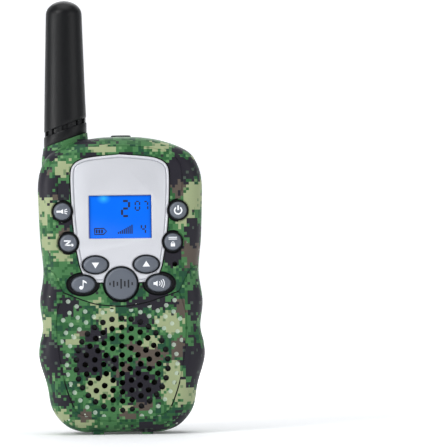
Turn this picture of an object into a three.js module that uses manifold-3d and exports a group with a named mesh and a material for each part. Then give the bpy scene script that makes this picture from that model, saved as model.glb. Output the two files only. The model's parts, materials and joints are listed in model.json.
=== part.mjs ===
// A toy walkie talkie, in millimetres. The front faces -Y, up is +Z and the viewer's right is +X.
// Every piece is first drawn about the shells' parting plane, and the whole is centred at the end.
import * as THREE from 'three';
import { mergeVertices } from 'three/addons/utils/BufferGeometryUtils.js';
import Module from 'manifold-3d';

const wasm = await Module();
wasm.setup();

// ---- driving dimensions ----
const HALF_DEPTH = 15; // parting plane to the front or the back face
const WALL = 2.4;
const EDGE_DEPTH = 7; // the rounded edge's reach towards the parting plane
const EDGE_WIDTH = 6; // the rounded edge's reach in from the outline
const SEAM = 0.15; // each shell stops this far from the parting plane
const GAP = 0.1; // between fixed pieces
const RUN = 0.35; // round a moving piece
const FACE = -HALF_DEPTH; // the front face
const BACK = HALF_DEPTH;
const INNER_FACE = FACE + WALL;
const INNER_BACK = BACK - WALL;

// Half of the body's outline as X and Z, from the foot of the middle line round to its top
const BODY_SIDE = [
  [0, 0.8], [8, 0.8], [14.5, 1.0], [20.4, 3.4], [25, 9.2], [26.8, 17.8], [29.3, 26.5], [29.2, 32],
  [28, 38], [28.9, 47], [27.6, 57.5], [28.6, 69], [29.1, 81.7], [29.1, 89], [27.8, 94.6],
  [24.4, 99.6], [16.3, 103.2], [8, 104.8], [0, 105.1],
];
const OUTLINE_STEPS = 26; // along each side
const FOOT = { x: 8.7, wide: 3.9, near: 5, far: 11 };

// Antenna: upright on the left shoulder, with a slanted foot
const ANTENNA_X = -19.2;
const SLANT = THREE.MathUtils.degToRad(19.2);
const COLLAR_FOOT = 104.2; // height of each slanted plane on the antenna's own axis
const COLLAR_TOP = 108.1;
const SHEATH_FOOT = 109.6;
const ANTENNA_TOP = 153.8;
const COLLAR_R = 7.7;
const NECK_R = 6.7;
const PLUG_R = 4.8;
const CORE_R = 3.4;

// Display and its bezel
const BEZEL_SIDE = [
  [0, 53.8], [8.8, 53.8], [13.4, 56.8], [15.5, 64.6], [16.7, 74], [17.3, 83.8], [17.4, 91.9],
  [16.6, 95], [14.2, 96.9], [9.9, 98], [0, 98.9],
];
const BEZEL_STEPS = 20;
const BEZEL_FRONT = FACE - 0.5;
const BEZEL_BACK = FACE + 0.8;
const WINDOW = { z: 76.8, wide: 21.9, high: 15 };

// Buttons: middle, width, height, and how far the dark well reaches round them
const BUTTONS = [
  { name: 'talk_button', x: 0, z: 53.25, wide: 11.2, high: 11.2, well: 0.6 },
  { name: 'call_button', x: -13.4, z: 53.2, wide: 8.3, high: 5.9, well: 0.6 },
  { name: 'monitor_button', x: 13.4, z: 53.2, wide: 8.3, high: 5.9, well: 0.6 },
  { name: 'down_button', x: -8.95, z: 60, wide: 8.5, high: 5.8, well: 0.5 },
  { name: 'up_button', x: 8.95, z: 60, wide: 8.5, high: 5.8, well: 0.5 },
  { name: 'lamp_button', x: -20.4, z: 78.9, wide: 6, high: 6, well: 0.9 },
  { name: 'power_button', x: 20.4, z: 78.9, wide: 6, high: 6, well: 0.9 },
  { name: 'scan_button', x: -18.4, z: 67.8, wide: 6, high: 6, well: 0.9 },
  { name: 'menu_button', x: 18.4, z: 67.8, wide: 6, high: 6, well: 0.9 },
];
const BUTTON_CROWN = 1.1; // a button's middle stands this far in front of the face
const BUTTON_TRAVEL = 0.8;
const FLANGE = 0.7; // the flange that keeps a button in its hole
const BUTTON_SIDES = 16; // facets of each button, its hole and its well
const BOARD_FRONT = -7;
const BOARD_THICK = 1.6;
const MEMBRANE = 0.9;

// Loudspeaker behind rings of holes: ring n has RING_HOLES * n holes
const SPEAKER = { z: 24.9, r: 17.6, cone: 15.2, magnet: 9 };
const RINGS = 5;
const RING_HOLES = 6;
const RING_STEP = 3.24;
const HOLE_R = 0.95;
const MIC = { x: 19, z: 59.9, hole: 0.85, capsule: 2, boot: 2.7 };

// Batteries stand side by side in a tray behind the door
const CELL = { r: 5.25, z: 12, high: 44.5, pitch: 10.7, y: 5.2 };
const TRAY = { wide: 44.8, low: 9.9, high: 59.2, floor: -1.2, wall: 1 };
const DOOR = { wide: 40, low: 10.5, high: 64, tab: 7 };
const DOOR_GAP = 0.3;
const LATCH_Z = 61.6; // the captive screw, above the tray
const LATCH_ROOM = 0.55; // lets the loosened screw swing out with the door

// Screws, and the belt clip
const CASE_SCREWS = [[-22.3, 88], [22.3, 88], [-13, 7], [13, 7]];
const BOARD_SCREWS = [[-16, 88], [16, 88]];
const BOSS_R = 2.4;
const SCREW_R = 1.05;
const HEAD_R = 1.9;
const HEAD_HIGH = 1.4;
const HEAD_SEAT = 6; // a case screw's head rests this far behind the parting plane
const CLIP = { y: 19, z: 90, pin: 1, eye: 2.3, ear: 2.6, half: 6.8, plate: 21.3, thick: 1.4, low: 66.8 };

// Torch on the top edge
const TORCH = { x: 0.5, r: 3.6, top: 105.75 };

// ---- helpers ----
function solid(geometry) {
  const bare = geometry.clone();
  bare.deleteAttribute('normal');
  bare.deleteAttribute('uv');
  const merged = mergeVertices(bare, 1e-4);
  return new wasm.Manifold(new wasm.Mesh({
    numProp: 3,
    vertProperties: new Float32Array(merged.attributes.position.array),
    triVerts: new Uint32Array(merged.index.array),
  }));
}

function surface(body) {
  const mesh = body.getMesh();
  const geometry = new THREE.BufferGeometry();
  geometry.setAttribute('position', new THREE.BufferAttribute(mesh.vertProperties, 3));
  geometry.setIndex(new THREE.BufferAttribute(mesh.triVerts, 1));
  geometry.computeVertexNormals();
  return geometry;
}

const join = (...bodies) => bodies.reduce((all, next) => all.add(next));
const cut = (body, ...tools) => tools.reduce((left, tool) => left.subtract(tool), body);

// A closed outline mirrored from its right side, evenly spaced along a smooth curve
function mirrored(side, steps) {
  const right = new THREE.SplineCurve(side.map(([x, z]) => new THREE.Vector2(x, z))).getSpacedPoints(steps);
  const left = right.slice(1, -1).reverse().map((p) => new THREE.Vector2(-p.x, p.y));
  return [...right, ...left];
}

// Moves a closed anticlockwise outline outwards
function widened(points, by) {
  return points.map((p, i) => {
    const before = points.at(i - 1);
    const after = points[(i + 1) % points.length];
    const along = after.clone().sub(before).normalize();
    return new THREE.Vector2(p.x + along.y * by, p.y - along.x * by);
  });
}

// An outline drawn in X and Z, made solid from y = front to y = back
function slab(points, front, back) {
  const shape = new THREE.Shape(points);
  const geometry = new THREE.ExtrudeGeometry(shape, { depth: back - front, bevelEnabled: false });
  return solid(geometry.rotateX(Math.PI / 2).translate(0, back, 0));
}

// An outline drawn in Y and Z, made solid from x = left to x = right
function sideSlab(points, left, right) {
  const shape = new THREE.Shape(points.map(([y, z]) => new THREE.Vector2(y, z)));
  const geometry = new THREE.ExtrudeGeometry(shape, { depth: right - left, bevelEnabled: false });
  return solid(geometry.rotateY(Math.PI / 2).rotateX(Math.PI / 2).translate(left, 0, 0));
}

function box(x0, x1, y0, y1, z0, z1) {
  const geometry = new THREE.BoxGeometry(x1 - x0, y1 - y0, z1 - z0);
  return solid(geometry.translate((x0 + x1) / 2, (y0 + y1) / 2, (z0 + z1) / 2));
}

// A rod along Y
function rod(x, z, r, front, back, sides = 20, flat = 1) {
  const geometry = new THREE.CylinderGeometry(r, r, back - front, sides).scale(flat, 1, 1);
  return solid(geometry.translate(x, (front + back) / 2, z));
}

// A post along Z
function post(x, y, r, low, high, sides = 20, topR = r) {
  const geometry = new THREE.CylinderGeometry(topR, r, high - low, sides).rotateX(Math.PI / 2);
  return solid(geometry.translate(x, y, (low + high) / 2));
}

// A rod along X
function axle(y, z, r, left, right, sides = 16) {
  const geometry = new THREE.CylinderGeometry(r, r, right - left, sides).rotateZ(Math.PI / 2);
  return solid(geometry.translate((left + right) / 2, y, z));
}

// A turned piece about an axis along Y: profile points are radius and y
function turned(profile, sides, x, z, flat = 1) {
  const points = profile.map(([r, y]) => new THREE.Vector2(r, y));
  return solid(new THREE.LatheGeometry(points, sides).scale(flat, 1, 1).translate(x, 0, z));
}

// Wire wound about an axis, as a closed tube with square section
class Helix extends THREE.Curve {
  constructor(r, length, turns) {
    super();
    Object.assign(this, { r, length, turns });
  }

  getPoint(t) {
    const angle = t * this.turns * 2 * Math.PI;
    return new THREE.Vector3(this.r * Math.cos(angle), this.r * Math.sin(angle), t * this.length);
  }
}

function coil(r, length, turns, wire, perTurn) {
  const section = new THREE.Shape(
    [[-1, -1], [1, -1], [1, 1], [-1, 1]].map(([a, b]) => new THREE.Vector2(a * wire, b * wire)),
  );
  const path = new Helix(r, length, turns);
  return new THREE.ExtrudeGeometry(section, {
    steps: Math.round(turns * perTurn), extrudePath: path, bevelEnabled: false,
  });
}

const group = new THREE.Group();

function add(name, body, material) {
  const mesh = new THREE.Mesh(body.isBufferGeometry ? body : surface(body), material.clone());
  mesh.name = name;
  group.add(mesh);
}

const paint = (color, roughness, metalness = 0) => (
  new THREE.MeshStandardMaterial({ color, roughness, metalness })
);
const MATERIAL = {
  camo: paint(0x5c7a52, 0.5),
  silver: paint(0xd0d1d7, 0.35, 0.6),
  button: paint(0x50565f, 0.45),
  black: paint(0x202226, 0.6),
  soft: paint(0x2d2e34, 0.85),
  window: paint(0x0a78f0, 0.1),
  light: paint(0x3ab4ff, 0.4),
  board: paint(0x1e5a34, 0.5),
  steel: paint(0xb8bac0, 0.3, 1),
  brass: paint(0xc8a860, 0.35, 1),
  cell: paint(0x6b4a2a, 0.4),
  paper: paint(0x38342e, 0.9),
  lens: paint(0xe8eef2, 0.08),
  rubber: paint(0x3c3c40, 0.8),
};

// ---- shells ----
const BODY = mirrored(BODY_SIDE, OUTLINE_STEPS);

// The body's cushion shape, or the hollow inside it: flat faces and an elliptical edge all round
function cushion(inset) {
  const spread = EDGE_WIDTH - inset;
  const straight = 2 * (HALF_DEPTH - EDGE_DEPTH);
  const geometry = new THREE.ExtrudeGeometry(new THREE.Shape(BODY), {
    depth: straight,
    bevelThickness: EDGE_DEPTH - inset,
    bevelSize: spread,
    bevelOffset: -EDGE_WIDTH,
    bevelSegments: inset ? 2 : 4, // the hollow's edge is coarser than the outside
  });
  return solid(geometry.rotateX(Math.PI / 2).translate(0, straight / 2, 0));
}

// Everything below a plane that rises to the right across the antenna
function belowSlant(z) {
  const size = 60;
  const geometry = new THREE.BoxGeometry(size, size, size).translate(0, 0, -size / 2);
  return solid(geometry.rotateY(-SLANT).translate(ANTENNA_X, 0, z));
}

const aboveSlant = (body, z) => body.subtract(belowSlant(z));

const hollow = cushion(WALL);
const antennaRoot = post(ANTENNA_X, 0, 8.9, 88, 112, 24, 7.6).intersect(belowSlant(COLLAR_FOOT));
const wholeShell = cut(
  join(cushion(0), antennaRoot),
  hollow,
  post(ANTENNA_X, 0, PLUG_R + GAP, 80, 120),
  post(TORCH.x, 0, TORCH.r + GAP, 100, 110),
);

function feet(sign) {
  const ends = [sign * FOOT.near, sign * FOOT.far].sort((a, b) => a - b);
  const pads = [-FOOT.x, FOOT.x].map((x) => (
    box(x - FOOT.wide / 2, x + FOOT.wide / 2, ends[0], ends[1], 0, WALL + 1)
  ));
  return cut(join(...pads), hollow);
}

function frontShell() {
  const pocket = slab(widened(mirrored(BEZEL_SIDE, BEZEL_STEPS), GAP), FACE - 1, BEZEL_BACK + GAP);
  const bosses = CASE_SCREWS.map(([x, z]) => rod(x, z, BOSS_R, INNER_FACE - 1, -SEAM, 12));
  const posts = BOARD_SCREWS.map(([x, z]) => rod(x, z, BOSS_R, INNER_FACE - 1, BOARD_FRONT - GAP, 12));
  let shell = cut(wholeShell, box(-40, 40, -SEAM, 30, -5, 130));
  shell = join(shell, feet(-1), ...[...bosses, ...posts].map((b) => b.intersect(cushion(1))));
  const tools = [pocket];
  for (const [x, z] of CASE_SCREWS) tools.push(rod(x, z, SCREW_R + GAP, -9, 1, 12));
  for (const [x, z] of BOARD_SCREWS) tools.push(rod(x, z, SCREW_R + GAP, -11, 0, 12));
  for (const b of BUTTONS) {
    const flat = b.wide / b.high;
    const hole = (room, front, back) => (
      rod(b.x, b.z, b.high / 2 + room, front, back, BUTTON_SIDES, flat)
    );
    tools.push(hole(RUN, FACE - 1, INNER_FACE + 1));
    tools.push(hole(b.well, FACE - 1, BEZEL_BACK + GAP));
    tools.push(hole(FLANGE + RUN, INNER_FACE, BOARD_FRONT));
  }
  const half = [WINDOW.wide / 2 - 1, WINDOW.high / 2 - 1];
  tools.push(box(-half[0], half[0], FACE - 1, INNER_FACE + 1, WINDOW.z - half[1], WINDOW.z + half[1]));
  tools.push(rod(MIC.x, MIC.z, MIC.hole, FACE - 1, INNER_FACE + 1, 10));
  for (let ring = 0; ring <= RINGS; ring += 1) {
    const count = Math.max(1, ring * RING_HOLES);
    for (let i = 0; i < count; i += 1) {
      const angle = (i / count) * 2 * Math.PI;
      const x = ring * RING_STEP * Math.sin(angle);
      const z = SPEAKER.z + ring * RING_STEP * Math.cos(angle);
      tools.push(rod(x, z, HOLE_R, FACE - 1, INNER_FACE + 1, 6));
    }
  }
  return cut(shell, wasm.Manifold.union(tools));
}

function rearShell() {
  const bosses = CASE_SCREWS.map(([x, z]) => rod(x, z, BOSS_R + 0.4, SEAM, INNER_BACK + 1, 12));
  let shell = cut(wholeShell, box(-40, 40, -30, SEAM, -5, 130));
  shell = join(shell, feet(1), ...bosses.map((b) => b.intersect(cushion(1))));
  for (const [x, z] of CASE_SCREWS) {
    shell = cut(
      shell,
      rod(x, z, SCREW_R + GAP, -1, BACK + 1, 12),
      rod(x, z, HEAD_R + GAP, HEAD_SEAT, BACK + 1, 12),
    );
  }
  const half = DOOR.wide / 2 + DOOR_GAP;
  const doorway = box(-half, half, 8, BACK + 1, DOOR.low - DOOR_GAP, DOOR.high + DOOR_GAP);
  // A ledge under the door's top edge takes its screw
  const ledge = join(
    box(-8, 8, INNER_BACK - 2.2, INNER_BACK - 0.25, TRAY.high + 0.5, DOOR.high + 3),
    box(-8, 8, INNER_BACK - 2.2, INNER_BACK + 0.5, DOOR.high + 0.8, DOOR.high + 3),
  );
  const screwHole = rod(0, LATCH_Z, SCREW_R + LATCH_ROOM, 8, BACK, 12);
  return cut(join(cut(shell, doorway), ledge), screwHole);
}

add('front_shell', frontShell(), MATERIAL.camo);
add('rear_shell', rearShell(), MATERIAL.camo);

// ---- screws: a head with a cross recess on a plain shank, driven in from the back ----
function screw(x, z, headBack, long) {
  const tip = headBack - long;
  const under = headBack - HEAD_HIGH;
  const profile = [[0, tip], [SCREW_R, tip + 0.8], [SCREW_R, under], [HEAD_R, under],
    [HEAD_R, headBack - 0.4], [HEAD_R * 0.7, headBack], [0, headBack]];
  const slot = (wide, high) => (
    box(x - wide / 2, x + wide / 2, headBack - 0.7, headBack + 1, z - high / 2, z + high / 2)
  );
  return cut(turned(profile, 10, x, z), join(slot(2.2, 0.5), slot(0.5, 2.2)));
}

CASE_SCREWS.forEach(([x, z], i) => {
  add(`case_screw_${i + 1}`, screw(x, z, HEAD_SEAT + HEAD_HIGH + GAP, 15), MATERIAL.steel);
});
BOARD_SCREWS.forEach(([x, z], i) => {
  const back = BOARD_FRONT + BOARD_THICK;
  add(`board_screw_${i + 1}`, screw(x, z, back + HEAD_HIGH + GAP, 6), MATERIAL.steel);
});

// ---- display ----
function bezel() {
  const plate = slab(mirrored(BEZEL_SIDE, BEZEL_STEPS), BEZEL_FRONT, BEZEL_BACK);
  const tools = BUTTONS.map((b) => (
    rod(b.x, b.z, b.high / 2 + b.well, BEZEL_FRONT - 1, BEZEL_BACK + 1, BUTTON_SIDES, b.wide / b.high)
  ));
  const half = [WINDOW.wide / 2 + GAP, WINDOW.high / 2 + GAP];
  return cut(plate, ...tools, box(
    -half[0], half[0], FACE - 2, BACK, WINDOW.z - half[1], WINDOW.z + half[1],
  ));
}

function plate(inset, front, back) {
  const half = [WINDOW.wide / 2 - inset, WINDOW.high / 2 - inset];
  return box(-half[0], half[0], front, back, WINDOW.z - half[1], WINDOW.z + half[1]);
}

add('display_bezel', bezel(), MATERIAL.silver);
add('display_window', plate(0, FACE - 0.2, BEZEL_BACK), MATERIAL.window);
add('lcd_panel', plate(1.2, BEZEL_BACK + GAP, INNER_FACE), MATERIAL.light);
add('lcd_backlight', plate(0.4, INNER_FACE + GAP, INNER_FACE + 2), MATERIAL.lens);

// ---- buttons, the membrane they press and the board behind it ----
const membraneFront = BOARD_FRONT - MEMBRANE;
for (const b of BUTTONS) {
  const r = b.high / 2;
  const stemEnd = membraneFront - GAP - BUTTON_TRAVEL;
  const profile = [
    [0, FACE - BUTTON_CROWN], [r - 0.5, FACE - 0.7], [r, FACE - 0.2], [r, INNER_FACE + GAP],
    [r + FLANGE, INNER_FACE + GAP],
    [r + FLANGE, INNER_FACE + 1], [r * 0.6, INNER_FACE + 1], [r * 0.6, stemEnd], [0, stemEnd],
  ];
  add(b.name, turned(profile, BUTTON_SIDES, b.x, b.z, b.wide / b.high), MATERIAL.button);
}
add('keypad_membrane', box(-23, 23, membraneFront, BOARD_FRONT - GAP, 48.5, 83.5), MATERIAL.rubber);
add('main_board', cut(
  box(-24, 24, BOARD_FRONT, BOARD_FRONT + BOARD_THICK, 46.5, 93),
  ...BOARD_SCREWS.map(([x, z]) => rod(x, z, SCREW_R + GAP, -20, 0, 12)),
  ...CASE_SCREWS.slice(0, 2).map(([x, z]) => rod(x, z, BOSS_R + 0.3, -20, 0, 12)),
), MATERIAL.board);

// ---- microphone ----
const bootFront = INNER_FACE + GAP;
add('microphone_boot', cut(
  rod(MIC.x, MIC.z, MIC.boot, bootFront, bootFront + 3),
  rod(MIC.x, MIC.z, MIC.hole, bootFront - 1, bootFront + 1, 10),
  rod(MIC.x, MIC.z, MIC.capsule + GAP, bootFront + 0.6, bootFront + 4),
), MATERIAL.rubber);
add('microphone', rod(MIC.x, MIC.z, MIC.capsule, bootFront + 0.7, bootFront + 2.6, 16), MATERIAL.steel);

// ---- loudspeaker ----
const frameFront = INNER_FACE + GAP;
add('speaker_frame', turned([
  [SPEAKER.cone + 0.3, frameFront], [SPEAKER.r, frameFront], [SPEAKER.r, frameFront + 1.2],
  [SPEAKER.magnet + 1.5, frameFront + 5.4], [SPEAKER.magnet, frameFront + 5.4],
  [SPEAKER.magnet, frameFront + 4.6], [SPEAKER.cone + 0.3, frameFront + 1],
  [SPEAKER.cone + 0.3, frameFront],
], 28, 0, SPEAKER.z), MATERIAL.black);
add('speaker_cone', turned([
  [0, frameFront + 1.2], [3, frameFront + 1.8], [5, frameFront + 3], [12, frameFront + 0.6],
  [SPEAKER.cone, frameFront + 0.3], [SPEAKER.cone, frameFront + 0.6], [12, frameFront + 1],
  [5, frameFront + 3.5], [0, frameFront + 3.5],
], 24, 0, SPEAKER.z), MATERIAL.paper);
add('speaker_magnet', rod(
  0, SPEAKER.z, SPEAKER.magnet - GAP, frameFront + 4.6, frameFront + 9.6, 24,
), MATERIAL.steel);

// ---- antenna ----
const bore = post(ANTENNA_X, 0, CORE_R, 80, 148, 12);
const collar = join(
  aboveSlant(post(ANTENNA_X, 0, COLLAR_R, 95, 115, 32), COLLAR_FOOT + GAP),
  post(ANTENNA_X, 0, PLUG_R, 94, 106, 20),
).intersect(belowSlant(COLLAR_TOP));
add('antenna_collar', cut(collar, bore), MATERIAL.soft);

// A slimmer neck with ribs across the groove, so that the antenna can bend there
const NECK_RIBS = 12;
let neck = post(ANTENNA_X, 0, NECK_R, 98, 118, 24);
for (let i = 0; i < NECK_RIBS; i += 1) {
  const rib = new THREE.BoxGeometry(1.2, 1.4, 30).translate(NECK_R, 0, 108);
  neck = neck.add(solid(rib.rotateZ((i * 2 * Math.PI) / NECK_RIBS).translate(ANTENNA_X, 0, 0)));
}
neck = aboveSlant(neck, COLLAR_TOP + 0.05).intersect(belowSlant(SHEATH_FOOT - 0.05));
add('antenna_neck', cut(neck, bore), MATERIAL.soft);

const DOME = 5; // height of the rounded end
const DOME_STEPS = 5;
const sheathProfile = [new THREE.Vector2(0, 100), new THREE.Vector2(7.7, 100)];
for (let i = 0; i <= DOME_STEPS; i += 1) {
  const angle = (i / DOME_STEPS) * (Math.PI / 2);
  sheathProfile.push(new THREE.Vector2(6.4 * Math.cos(angle), ANTENNA_TOP - DOME * (1 - Math.sin(angle))));
}
const sheath = solid(
  new THREE.LatheGeometry(sheathProfile, 28).rotateX(Math.PI / 2).translate(ANTENNA_X, 0, 0),
);
add('antenna_sheath', cut(aboveSlant(sheath, SHEATH_FOOT), bore), MATERIAL.soft);
add('antenna_coil', coil(2.6, 32, 10, 0.3, 8).translate(ANTENNA_X, 0, 113), MATERIAL.brass);

// ---- torch ----
add('torch_bezel', cut(
  post(TORCH.x, 0, TORCH.r, 101, TORCH.top, 24),
  post(TORCH.x, 0, TORCH.r - 0.9, 102.5, TORCH.top + 1, 24),
  post(TORCH.x, 0, 1.7, 100, 103, 16),
), MATERIAL.black);
add('torch_lens', post(TORCH.x, 0, TORCH.r - 1, 104.6, TORCH.top - 0.2, 20), MATERIAL.lens);
add('torch_led', post(TORCH.x, 0, 1.5, 99.5, 104.4, 14, 1.1), MATERIAL.lens);

// ---- battery tray, cells, springs and plates ----
const roomInside = cushion(WALL + 0.2);
add('battery_tray', cut(
  box(-TRAY.wide / 2, TRAY.wide / 2, TRAY.floor, INNER_BACK - 0.3, TRAY.low, TRAY.high),
  box(
    -TRAY.wide / 2 + TRAY.wall, TRAY.wide / 2 - TRAY.wall, TRAY.floor + TRAY.wall, BACK,
    TRAY.low + TRAY.wall, TRAY.high - TRAY.wall,
  ),
  ...[-DOOR.tab, DOOR.tab].map((x) => box(x - 2.4, x + 2.4, INNER_BACK - 2.2, BACK, 5, DOOR.low + 3)),
).intersect(roomInside), MATERIAL.black);

const PLATE_THICK = 0.3;
const platesLow = TRAY.low + TRAY.wall + GAP;
const platesHigh = TRAY.high - TRAY.wall - GAP - PLATE_THICK;
const cellX = [-1.5, -0.5, 0.5, 1.5].map((n) => n * CELL.pitch);
cellX.forEach((x, i) => {
  const standing = i % 2 === 0; // every other cell is turned end for end
  const profile = [[0, 0], [CELL.r - 0.5, 0], [CELL.r, 0.5], [CELL.r, CELL.high - 1.5],
    [CELL.r - 0.6, CELL.high - 0.9], [1.9, CELL.high - 0.8], [1.9, CELL.high], [0, CELL.high]];
  const points = profile.map(([r, y]) => new THREE.Vector2(r, y));
  const cell = new THREE.LatheGeometry(points, 20).rotateX(standing ? Math.PI / 2 : -Math.PI / 2);
  // The spring end of each cell needs more room than its button end
  const low = standing ? platesLow + 1.7 : platesLow + PLATE_THICK + GAP;
  const foot = standing ? low : low + CELL.high;
  add(`cell_${i + 1}`, solid(cell.translate(x, CELL.y, foot)), MATERIAL.cell);
  const springLow = standing ? platesLow + PLATE_THICK + 0.25 : low + CELL.high + 0.25;
  const springHigh = standing ? low - 0.25 : platesHigh - 0.25;
  const spring = coil(2.4, springHigh - springLow, 2, 0.12, 10);
  add(`cell_spring_${i + 1}`, spring.translate(x, CELL.y, springLow), MATERIAL.steel);
});
const plates = [
  [cellX[0], cellX[1], platesLow], [cellX[2], cellX[3], platesLow], [cellX[1], cellX[2], platesHigh],
  [cellX[0], cellX[0], platesHigh], [cellX[3], cellX[3], platesHigh],
];
plates.forEach(([left, right, low], i) => {
  add(`contact_plate_${i + 1}`, box(
    left - 3.6, right + 3.6, CELL.y - 4, CELL.y + 4, low, low + PLATE_THICK,
  ), MATERIAL.steel);
});

// ---- battery door, which swings out about its foot once its screw is loose ----
const doorHalf = DOOR.wide / 2;
const doorPanel = cut(
  cushion(0).intersect(box(-doorHalf, doorHalf, INNER_BACK, BACK + 1, DOOR.low, DOOR.high)),
  rod(0, LATCH_Z, HEAD_R + GAP, BACK - 0.1 - HEAD_HIGH - GAP, BACK + 1, 12),
  rod(0, LATCH_Z, SCREW_R + GAP, INNER_BACK - 1, BACK + 1, 12),
);
const tabs = [-DOOR.tab, DOOR.tab].map((x) => join(
  box(x - 2, x + 2, INNER_BACK - 0.9, INNER_BACK - 0.2, DOOR.low - 1.2, DOOR.low + 2.5),
  box(x - 2, x + 2, INNER_BACK - 0.9, INNER_BACK + 0.5, DOOR.low + 1, DOOR.low + 2.5),
));
add('battery_door', join(doorPanel, ...tabs), MATERIAL.camo);
add('door_screw', screw(0, LATCH_Z, BACK - 0.1, 5.5), MATERIAL.steel);

// ---- belt clip ----
const earIn = CLIP.half + RUN;
const clipBase = cut(
  join(
    box(-earIn - 2, earIn + 2, BACK + 0.05, BACK + 1.6, CLIP.z - 6, CLIP.z + 5),
    ...[-earIn - 2, earIn].map((x) => join(
      box(x, x + 2, BACK + 1, CLIP.y, CLIP.z - CLIP.ear, CLIP.z + CLIP.ear),
      axle(CLIP.y, CLIP.z, CLIP.ear, x, x + 2, 20),
    )),
  ),
  axle(CLIP.y, CLIP.z, CLIP.pin + 0.05, -20, 20),
);
add('clip_base', clipBase, MATERIAL.black);
add('clip_pin', axle(CLIP.y, CLIP.z, CLIP.pin, -earIn - 1.9, earIn + 1.9), MATERIAL.steel);

const springRoom = 4.6; // at the right of the lever's eye
const lever = cut(
  join(
    sideSlab([
      [CLIP.plate, CLIP.low + 6], [CLIP.plate - 3.2, CLIP.low + 2], [BACK + 0.3, CLIP.low + 1.2],
      [BACK + 0.3, CLIP.low], [CLIP.plate - 1.6, CLIP.low - 1.4], [CLIP.plate + CLIP.thick, CLIP.low + 5],
      [CLIP.plate + CLIP.thick, 97], [CLIP.plate + 0.2, 98.6], [CLIP.plate - 0.8, 98],
      [CLIP.plate, 96.4],
    ], -CLIP.half, CLIP.half),
    axle(CLIP.y, CLIP.z, CLIP.eye, -CLIP.half, CLIP.half - springRoom),
    box(-CLIP.half, CLIP.half - springRoom, CLIP.y, CLIP.plate + 0.5, CLIP.z - 1.8, CLIP.z + 1.8),
  ),
  axle(CLIP.y, CLIP.z, CLIP.pin + 0.1, -20, 20),
);
add('clip_lever', lever, MATERIAL.black);
const clipSpring = coil(1.55, springRoom - 1, 4, 0.2, 10).rotateY(Math.PI / 2);
add('clip_spring', clipSpring.translate(CLIP.half - springRoom + 0.5, CLIP.y, CLIP.z), MATERIAL.steel);

// ---- bring the middle of the whole over the origin ----
const bounds = new THREE.Box3().setFromObject(group);
const middle = bounds.getCenter(new THREE.Vector3());
for (const mesh of group.children) mesh.geometry.translate(-middle.x, -middle.y, -bounds.min.z);

export default group;
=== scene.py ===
# %% [markdown]
# # A toy walkie talkie
# A child's two-way radio: two moulded shells with a printed camouflage, a silver plate round a
# small lit display, nine keys, a loudspeaker behind rings of holes and a soft stub antenna. The packed
# model gives every moving body and the place of every piece. This file makes the fine surfaces that a
# person sees.

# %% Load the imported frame
import json
import math

import bmesh
import bpy
import numpy as np
from mathutils import Matrix, Vector


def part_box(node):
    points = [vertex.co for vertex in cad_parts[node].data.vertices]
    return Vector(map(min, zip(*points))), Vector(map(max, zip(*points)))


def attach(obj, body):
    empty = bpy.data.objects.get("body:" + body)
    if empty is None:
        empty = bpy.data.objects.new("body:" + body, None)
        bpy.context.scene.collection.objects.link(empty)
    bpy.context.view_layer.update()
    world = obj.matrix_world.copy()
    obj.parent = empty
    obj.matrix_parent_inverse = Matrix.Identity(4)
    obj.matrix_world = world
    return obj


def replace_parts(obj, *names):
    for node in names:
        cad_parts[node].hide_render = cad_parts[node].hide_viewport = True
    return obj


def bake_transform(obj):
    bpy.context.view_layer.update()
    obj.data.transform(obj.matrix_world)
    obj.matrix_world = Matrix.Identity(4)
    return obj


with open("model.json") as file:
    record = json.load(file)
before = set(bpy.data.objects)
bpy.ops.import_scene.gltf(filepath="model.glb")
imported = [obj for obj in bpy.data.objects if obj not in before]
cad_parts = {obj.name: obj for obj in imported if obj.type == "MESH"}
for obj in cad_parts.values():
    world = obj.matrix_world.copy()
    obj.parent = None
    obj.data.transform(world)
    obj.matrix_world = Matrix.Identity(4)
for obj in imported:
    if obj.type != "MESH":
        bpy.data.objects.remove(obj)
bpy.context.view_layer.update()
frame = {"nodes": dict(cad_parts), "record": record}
MM = 0.001


def node_box(node):
    """A node's lowest and highest corners in millimetres."""
    low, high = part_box(node)
    return np.array(low) / MM, np.array(high) / MM


PART_Y = (node_box("front_shell")[1][1] + node_box("rear_shell")[0][1]) / 2
TOP_Z = node_box("antenna_sheath")[1][2]

# %% [markdown]
# ## Camera
# A catalogue picture of a small thing is taken with a long lens from well back, so that its sides stay
# parallel. The camera stands straight in front of the radio, level with its middle, and is turned a
# little to the right, which leaves the radio on the left of the picture. A slight roll tips the radio the
# way it leans.

# %% Camera
VIEW_WIDE = 157.8
VIEW_MIDDLE = Vector((36.5, -18.0, 73.8)) * MM
STAND_OFF = 1.5
ROLL = math.radians(-0.75)
camera_data = bpy.data.cameras.new("camera")
camera = bpy.data.objects.new("camera", camera_data)
bpy.context.scene.collection.objects.link(camera)
bpy.context.scene.camera = camera
camera.location = Vector((4.0 * MM, -STAND_OFF, VIEW_MIDDLE.z))
aim = VIEW_MIDDLE - camera.location
camera.rotation_euler = (aim.to_track_quat("-Z", "Y").to_matrix() @ Matrix.Rotation(ROLL, 3, "Z")).to_euler()
camera_data.sensor_width = 36.0
camera_data.lens = 36.0 * aim.length / (VIEW_WIDE * MM)
camera_data.clip_start = 0.01
camera_data.clip_end = 20.0
print("lens", round(camera_data.lens, 1), "mm from", round(aim.length, 3), "m")

# %% [markdown]
# ## Studio
# A pale sweep of card runs from under the radio up behind it, so the background has no corner. Large soft
# lamps on both sides and above give broad highlights, and the world adds an even fill.

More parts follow.
